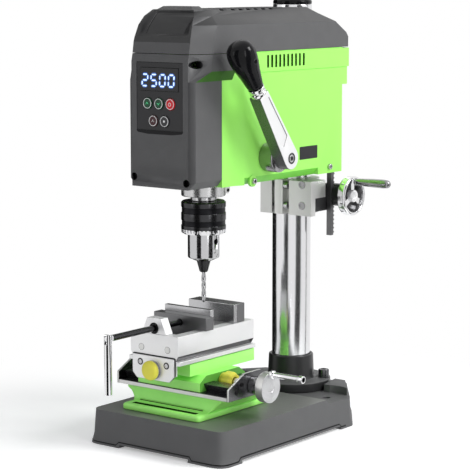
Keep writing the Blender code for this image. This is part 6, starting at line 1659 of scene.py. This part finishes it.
@dataclass
class ViseBase:
    """The vise's lime foot, its steel X rail and the rail's end plates."""

    sections: tuple[tuple[float, float, float, float, float, float], ...] = (
        (39.5, -64.9, 45.9, -67.4, 61.4, 4.0), (40.3, -65.5, 46.5, -68.0, 62.0, 4.0),
        (44.2, -65.5, 46.5, -68.0, 62.0, 4.0), (45.7, -65.0, 46.0, -67.5, 61.5, 4.0),
        (46.3, -64.0, 45.0, -66.4, 60.4, 4.0), (46.4, -63.6, 44.6, -51.4, 45.4, 3.0),
        (47.2, -65.2, 46.4, -48.8, 42.8, 3.0), (49.2, -67.0, 48.6, -46.4, 40.4, 3.0),
        (52.4, -69.6, 51.6, -45.1, 39.1, 3.0), (56.0, -72.8, 55.4, -44.5, 38.5, 3.0),
        (58.6, -77.0, 58.4, -44.5, 38.5, 3.0), (59.4, -78.0, 59.0, -44.5, 38.5, 3.0),
        (61.9, -78.0, 59.0, -44.5, 38.5, 3.0))
    slot_rows: tuple[Point2, ...] = ((-61.5, -55.0), (48.5, 55.0))
    slot_reach: Point2 = (-56.0, 37.0)
    groove_rows: tuple[Point2, ...] = ((-56.0, -45.6), (39.6, 50.0))
    groove_span: Point2 = (47.5, 49.3)
    plate_face: float = 72.5
    plate_screws: tuple[Point2, ...] = ((-23.1, 78.0), (-33.0, 70.4))

    def build(self, model: Frame) -> None:
        """Build the foot, and refine the rail and its end plates.

        Args:
            model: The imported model.
        """
        work = bmesh.new()
        rows = []
        for z, left, right, near, far, corner in self.sections:
            outline = []
            west, east, south, north = left + corner, right - corner, near + corner, far - corner
            for x, y, start in ((east, north, 0), (west, north, 90), (west, south, 180),
                                (east, south, 270)):
                for step in range(7):
                    turn = math.radians(start + 15 * step)
                    outline.append((x + corner * math.cos(turn), y + corner * math.sin(turn), z))
            rows.append([work.verts.new(spot) for spot in outline])
        add_loft(work, rows)
        foot = to_object("vise_base_fine", work, 50.0)
        for near, far in self.slot_rows:
            left, right = self.slot_reach
            cut(foot, prism("foot_slot", Axis.Z, round_outline([(left, near), (right, near), (right, far),
                                                                (left, far)], 1.4), 43.0, 52.0))
        low, high = self.groove_span
        for near, far in self.groove_rows:
            cut(foot, prism("foot_groove", Axis.X, [(near, low), (far, low), (far, high), (near, high)],
                            *self.slot_reach))
        foot.data.set_sharp_from_angle(angle=math.radians(50))
        dress(foot, LIME_CAST, "frame", ["vise_base"])
        # Walls and floors of the slots and grooves get near-black lime: painted shade.
        paint(foot, LIME_SLOT_SHADE, self._in_slot)
        rail = model.refine("vise_x_rail", RAIL_STEEL, 0.3)
        paint(rail, ALUMINIUM, lambda spot, normal: abs(normal.y) > 0.9 and spot.z < 68.0)
        for node in ("rail_end_left", "rail_end_right"):
            plate = model.refine(node, DARK_STEEL, 0.4)
            paint(plate, ALUMINIUM, lambda spot, normal: abs(normal.x) < 0.5)
        screw_heads("end_plate_screws", (2.6, 0.9),
                    [(self.plate_face, *spot) for spot in self.plate_screws], Axis.X, BLACK_PARTS_AND_SHADE, "frame")

    def _in_slot(self, spot: Vector, normal: Vector) -> bool:
        """Tell whether a face is the wall or floor of a long slot or groove.

        Args:
            spot: The face's middle.
            normal: The face's normal.

        Returns:
            Whether it is one.
        """
        (left, right), (low, high) = self.slot_reach, self.groove_span
        groove = (any(near < spot.y < far for near, far in self.groove_rows)
                  and low - 0.1 < spot.z < high + 0.1 and max(abs(normal.z), abs(normal.y)) > 0.99)
        slot = (any(near - 0.3 < spot.y < far + 0.3 for near, far in self.slot_rows)
                and 42.5 < spot.z < 46.0)
        return left - 0.6 < spot.x < right + 0.6 and (slot or groove)


@dataclass
class CrossFeed:
    """The X screw with its turned handwheel and crank, and the saddle's yellow knob."""

    y: float = -3.0
    z: float = 74.5
    hub: float = 72.9
    start: float = 88.0
    end: float = 98.0
    radius: float = 17.2
    crank_offset: float = 15.0
    crank_length: float = 44.0

    def build(self, model: Frame) -> None:
        """Build the screw, the wheel and the crank handle.

        Args:
            model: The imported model.
        """
        centre = (self.y, self.z)
        screw = turned("x_screw_fine", Axis.X, centre, [
            (0.0, -91.6), (4.0, -91.6), (4.5, -91.0), (4.5, self.hub), (0.0, self.hub)], 0.2, 48)
        dress(screw, STEEL, "x_screw")
        wheel = turned("x_handwheel_fine", Axis.X, centre, [
            (0.0, self.hub), (10.0, self.hub), (10.0, self.start - 3.0), (12.0, self.start),
            (self.radius, self.start), (self.radius, self.end), (5.6, self.end), (5.0, self.end - 0.8),
            (0.0, self.end - 0.8)], 0.5, 128)
        dress(wheel, X_FACE, "x_screw", ["x_handwheel"])
        paint(wheel, HUB_METAL, lambda spot, normal: spot.x < self.start - 0.5)
        paint(wheel, ALUMINIUM, lambda spot, normal: self.start < spot.x < self.end - 0.8
              and abs(normal.x) < 0.5)
        pin = (self.y, self.z + self.crank_offset)
        foot = self.end + 0.3
        tip = foot + self.crank_length
        crank = turned("x_crank_fine", Axis.X, pin, [
            (0.0, foot), (5.0, foot), (5.0, foot + 3.5), (3.4, foot + 4.5), (3.4, tip - 7.0),
            (4.2, tip - 6.0), (4.2, tip), (2.6, tip), (2.6, tip - 4.5), (0.0, tip - 4.5)], 0.6, 64)
        dress(crank, CHROME, "x_crank", ["x_crank_handle"])
        # Black inside the crank's hollow end: painted shade.
        paint(crank, JAW_BLACK, lambda spot, normal: spot.x > tip - 5.0 and math.hypot(
            spot.y - pin[0], spot.z - pin[1]) < 3.0)
        self._knob(model, centre)

    def _knob(self, model: Frame, centre: Point2) -> None:
        """Build the yellow knob with its seven finger hollows.

        Args:
            model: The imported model.
            centre: Place of its axis, in Y and Z.
        """
        knob = turned("saddle_knob_fine", Axis.X, centre, [
            (5.6, 30.1), (8.6, 30.1), (8.8, 33.0), (10.8, 35.0), (10.8, 44.4), (9.4, 47.3), (5.6, 47.3)],
            0.9, 96, closed=True)
        middle = place(0.0, *centre)
        for vertex in knob.data.vertices:
            across = Vector((0.0, vertex.co.y - middle.y, vertex.co.z - middle.z))
            if vertex.co.x > place(33.5, 0, 0).x and across.length > 0.007:
                shrink = 1.0 - 0.11 * (0.5 + 0.5 * math.cos(7 * math.atan2(across.z, across.y)))
                vertex.co.y, vertex.co.z = (middle + across * shrink)[1:]
        model.swap(knob, YELLOW, "saddle_knob")


@dataclass
class ViseSaddle:
    """The lime saddle that carries the Y slide."""

    def build(self, model: Frame) -> None:
        """Refine the saddle.

        Args:
            model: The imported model.
        """
        saddle = model.refine("vise_saddle", LIME_CAST, 0.6)
        # The saddle's sides get darker lime: painted shade.
        paint(saddle, LIME_FLANK_SHADE, lambda spot, normal: abs(normal.x) > 0.5 and spot.z < 84.5)


@dataclass
class ViseSlide:
    """The white Y slide with its front plate and its yellow knob."""

    x: float = -15.7
    knob_z: float = 91.5
    knob_radius: float = 11.2
    knob_front: float = -80.8
    plate_screws: tuple[Point2, ...] = ((-34.0, 99.0), (4.0, 98.5))
    plate_front: float = -71.5
    plug_seat: float = -68.8
    plugs: tuple[Point2, ...] = ((-34.4, 115.3), (3.6, 115.8))

    def build(self, model: Frame) -> None:
        """Refine the slide and its plates, and build the knob.

        Args:
            model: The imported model.
        """
        slide = model.refine("vise_slide", SATIN_WHITE, 0.8)
        # The undercut and the top slot's floor get dark metal: painted shade.
        paint(slide, SLIDE_SHADE, lambda spot, normal: (abs(normal.x) > 0.7 and normal.z < -0.3
              and 103.0 < spot.z < 111.0) or (normal.z > 0.9 and 113.0 < spot.z < 114.8))
        # A thin black strip round the front plate: painted shadow in its gap.
        shadow_gap_strip = prism("plate_groove", Axis.Y, round_outline([
            (-39.4, 80.4), (8.0, 80.4), (15.4, 87.0), (15.4, 108.1), (-46.8, 108.1), (-46.8, 87.0)], 2.6),
            -69.75, -68.9)
        dress(shadow_gap_strip, BLACK_PARTS_AND_SHADE, "slide")
        model.refine("slide_front_plate", SATIN_WHITE, 0.5)
        support = model.refine("screw_support", SATIN_WHITE, 0.9)
        paint(support, ARM_EDGE, lambda spot, normal: normal.x < -0.7)
        disc("support_ring", Axis.Y, (self.x, 138.5), 6.4, -69.7, -68.8, BLACK_PARTS_AND_SHADE, "slide", 3.9)
        knob = turned("slide_knob_fine", Axis.Y, (self.x, self.knob_z), [
            (0.0, self.knob_front), (5.5, self.knob_front + 0.15), (9.0, self.knob_front + 0.9),
            (self.knob_radius - 0.2, self.knob_front + 2.8), (self.knob_radius, self.knob_front + 5.6),
            (self.knob_radius - 0.3, self.knob_front + 6.3), (0.0, self.knob_front + 6.3)], 0.9, 96)
        model.swap(knob, YELLOW, "slide_knob")
        disc("slide_knob_collar", Axis.Y, (self.x, self.knob_z), self.knob_radius - 0.2,
             self.knob_front + 6.3, self.knob_front + 9.2, HUB_METAL, "slide")
        screw_heads("plate_screw_heads", (2.6, 0.5), [(x, self.plate_front, z) for x, z in self.plate_screws],
                    Axis.Y, STEEL, "slide")
        for index, spot in enumerate(self.plate_screws):
            disc(f"plate_screw_ring_{index + 1}", Axis.Y, spot, 3.9, self.plate_front - 0.25,
                 self.plate_front + 0.3, BLACK_PARTS_AND_SHADE, "slide", 2.7)
        for index, spot in enumerate(self.plugs):
            disc(f"slide_plug_{index + 1}", Axis.Y, spot, 3.5, self.plug_seat - 0.55, self.plug_seat,
                 ALUMINIUM, "slide")
            disc(f"slide_plug_ring_{index + 1}", Axis.Y, spot, 4.0, self.plug_seat - 0.35, self.plug_seat,
                 HUB_METAL, "slide", 3.55)


@dataclass
class Jaws:
    """The fixed and moving jaws, the clamping screw and its folding handle."""

    def build(self, model: Frame) -> None:
        """Refine the jaws, the screw and the handle.

        Args:
            model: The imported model.
        """
        model.refine("fixed_jaw", JAW_IRON, 0.6)
        model.refine("moving_jaw", JAW_IRON, 0.6)
        model.refine("fixed_jaw_plate", STEEL, 0.4)
        model.refine("moving_jaw_plate", STEEL, 0.4)
        rod = model.refine("jaw_screw", ROD_STEEL, 0.3)
        paint(rod, CHROME, lambda spot, normal: spot.y < -134.0)
        model.refine("jaw_handle", CHROME, 0.4)


@dataclass
class Studio:
    """The pale floor, the soft lamps and the camera at the photograph's angle."""

    position: Point3 = (1.2632, -1.6332, 0.5302)
    aim: Point3 = (-0.6075, 0.7816, -0.1417)
    lens: float = 140.1
    bearing: float = 37.859
    sky: Point3 = (0.93, 0.95, 1.0)
    sky_strength: float = 0.30
    floor_radius: float = 2.5
    floor_drop: float = 0.0003
    floor_tone: float = 0.93
    floor_fade: Point2 = (0.22, 0.52)
    floor_lift: float = 0.32
    lamp_aim: Point3 = (0.0, 0.0, 0.25)
    lamps: dict[str, tuple[Point3, Point2, float]] = field(default_factory=lambda: {
        "key": ((1.15, 0.50, 1.25), (0.6, 0.6), 19.0),
        "side_fill": ((1.7, -0.30, 0.60), (0.9, 1.3), 12.0),
        "front_fill": ((-0.4, -1.8, 0.7), (1.2, 1.2), 6.5),
        "rim": ((-1.2, 0.9, 0.8), (0.8, 1.2), 5.0)})
    card_middle: Point2 = (-0.020, 0.050)
    card_distance: float = 0.68
    card_height: float = 0.95
    card_foot: float = 0.25
    card_taper: float = 0.4
    cards: dict[str, Point2] = field(default_factory=lambda: {
        "card_near_left": (-34.0, 0.34), "card_near_right": (46.0, 0.40),
        "card_far_left": (-145.0, 0.95), "card_far_right": (103.0, 0.06)})

    def build(self) -> None:
        """Build the floor, the lamps, the world, the dark cards and the camera."""
        self._floor()
        self._world()
        self._camera()
        for name, (spot, size, power) in self.lamps.items():
            self._lamp(name, spot, size, power)
        for name, (turn, width) in self.cards.items():
            self._card(name, turn, width)

    def _floor(self) -> None:
        """Build the floor, which fades to plain white around the machine's shadow."""
        work = bmesh.new()
        bmesh.ops.create_circle(work, cap_ends=True, radius=self.floor_radius, segments=96)
        floor = self._shape("floor", work)
        floor.location.z = -self.floor_drop
        made = bpy.data.materials.new("pale_floor")
        made.use_nodes = True
        tree = made.node_tree
        shader = tree.nodes["Principled BSDF"]
        for socket, value in (("Base Color", (*[self.floor_tone] * 3, 1.0)), ("Roughness", 0.9),
                              ("Specular IOR Level", 0.0)):
            shader.inputs[socket].default_value = value
        length = add_node(tree, "ShaderNodeVectorMath", operation="LENGTH")
        fade = add_node(tree, "ShaderNodeMapRange", dict(zip(("From Min", "From Max"), self.floor_fade)),
                        interpolation_type="SMOOTHSTEP")
        share = add_node(tree, "ShaderNodeMath", operation="MULTIPLY")
        near = add_node(tree, "ShaderNodeAddShader")
        gate = add_node(tree, "ShaderNodeMixShader")
        mix = add_node(tree, "ShaderNodeMixShader")
        seen = self._seen_rays(tree)
        wire(add_node(tree, "ShaderNodeTexCoord"), "Object", length, 0)
        wire(length, "Value", fade, "Value")
        wire(fade, "Result", share, 0)
        wire(seen, 0, share, 1)
        wire(shader, "BSDF", near, 0)
        wire(add_node(tree, "ShaderNodeEmission", {"Strength": self.floor_lift}), "Emission", near, 1)
        wire(seen, 0, gate, "Fac")
        wire(shader, "BSDF", gate, 1)
        wire(near, "Shader", gate, 2)
        wire(share, "Value", mix, "Fac")
        wire(gate, "Shader", mix, 1)
        wire(add_node(tree, "ShaderNodeEmission"), "Emission", mix, 2)
        wire(mix, "Shader", tree.nodes["Material Output"], "Surface")
        floor.data.materials.append(made)

    @staticmethod
    def _shape(name: str, work: bmesh.types.BMesh) -> bpy.types.Object:
        """Link a shape of the studio, whose corners are in metres.

        Args:
            name: Name of the shape.
            work: Its mesh, which is freed.

        Returns:
            The shape.
        """
        mesh = bpy.data.meshes.new(name)
        work.to_mesh(mesh)
        work.free()
        return link(name, mesh)

    @staticmethod
    def _point(name: str, data: bpy.types.ID, spot: Point3, towards: Vector) -> bpy.types.Object:
        """Link a camera or a lamp that looks along a direction.

        Args:
            name: Name of the object.
            data: The camera or the lamp.
            spot: Its place, in metres.
            towards: The direction.

        Returns:
            The object.
        """
        made = bpy.data.objects.new(name, data)
        bpy.context.scene.collection.objects.link(made)
        made.location = spot
        made.rotation_euler = towards.to_track_quat("-Z", "Y").to_euler()
        return made

    @staticmethod
    def _seen_rays(tree: bpy.types.NodeTree) -> bpy.types.Node:
        """Tell the rays that show the background from those that carry its light.

        Args:
            tree: Tree that receives the nodes.

        Returns:
            The node whose output is one for the rays that show it.
        """
        path = add_node(tree, "ShaderNodeLightPath")
        most, both = (add_node(tree, "ShaderNodeMath", operation="MAXIMUM") for _ in range(2))
        wire(path, "Is Camera Ray", most, 0)
        wire(path, "Is Glossy Ray", most, 1)
        wire(most, 0, both, 0)
        wire(path, "Is Transmission Ray", both, 1)
        return both

    def _world(self) -> None:
        """Light the world softly and show it white to the camera and to gloss."""
        world = bpy.data.worlds.new("studio")
        bpy.context.scene.world = world
        world.use_nodes = True
        tree = world.node_tree
        tree.nodes.clear()
        ambient = {"Color": (*self.sky, 1.0), "Strength": self.sky_strength}
        white = {"Color": (1.0, 1.0, 1.0, 1.0), "Strength": 1.0}
        mix = add_node(tree, "ShaderNodeMixShader")
        wire(self._seen_rays(tree), 0, mix, "Fac")
        wire(add_node(tree, "ShaderNodeBackground", ambient), "Background", mix, 1)
        wire(add_node(tree, "ShaderNodeBackground", white), "Background", mix, 2)
        wire(mix, "Shader", add_node(tree, "ShaderNodeOutputWorld"), "Surface")

    def _camera(self) -> None:
        """Set the camera of the photograph."""
        data = bpy.data.cameras.new("view")
        data.lens = self.lens
        data.sensor_width = 36.0
        data.clip_start = 0.05
        bpy.context.scene.camera = self._point("view", data, self.position, Vector(self.aim))

    def _lamp(self, name: str, spot: Point3, size: Point2, power: float) -> None:
        """Add an area lamp that looks at the middle of the machine.

        Args:
            name: Name of the lamp.
            spot: Its place, in metres.
            size: Its width and height, in metres.
            power: Its power, in watts.
        """
        data = bpy.data.lights.new(name, "AREA")
        data.shape = "RECTANGLE"
        data.size, data.size_y = size
        data.energy = power
        self._point(name, data, spot, Vector(self.lamp_aim) - Vector(spot))

    def _card(self, name: str, turn: float, width: float) -> None:
        """Stand a dark card round the machine, seen only in its gloss.

        Args:
            name: Name of the card.
            turn: Angle in degrees to the right of the camera, seen from above.
            width: Width of the card in metres.
        """
        angle = math.radians(self.bearing + turn)
        away = Vector((math.sin(angle), -math.cos(angle), 0.0))
        middle = Vector((*self.card_middle, self.card_height / 2)) + away * self.card_distance
        across = Vector((-away.y, away.x, 0.0)) * width / 2
        up = Vector((0.0, 0.0, self.card_height / 2))
        inward = away * (self.card_foot - self.card_distance)
        work = bmesh.new()
        corners = [work.verts.new(middle + corner) for corner in (
            -across - up, across - up, across + up, -across + up, inward - across * self.card_taper - up,
            inward + across * self.card_taper - up)]
        work.faces.new(corners[:4])
        work.faces.new([corners[4], corners[5], corners[1], corners[0]])
        card = self._shape(name, work)
        card.data.materials.append(Finish("card_black", (0.010, 0.010, 0.010), 0.9, gloss=0.0).material())
        card.visible_camera = card.visible_shadow = False
        card.visible_diffuse = card.visible_transmission = False


def main() -> None:
    """Build and dress the whole drill press, then light it."""
    logging.basicConfig(level=logging.INFO, format="%(name)s: %(message)s")
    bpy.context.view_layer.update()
    model = Frame()
    for group in (Base(), ColumnStand(), Bracket(), LiftDrive(), HeadBody(), Covers(), ControlPanel(),
                  FeedLever(), SpindleGroup(), ViseBase(), CrossFeed(), ViseSaddle(), ViseSlide(), Jaws()):
        LOG.info("building %s", type(group).__name__)
        group.build(model)
    Studio().build()
    bpy.context.scene.view_settings.view_transform = "Standard"


if __name__ == "__main__":
    main()
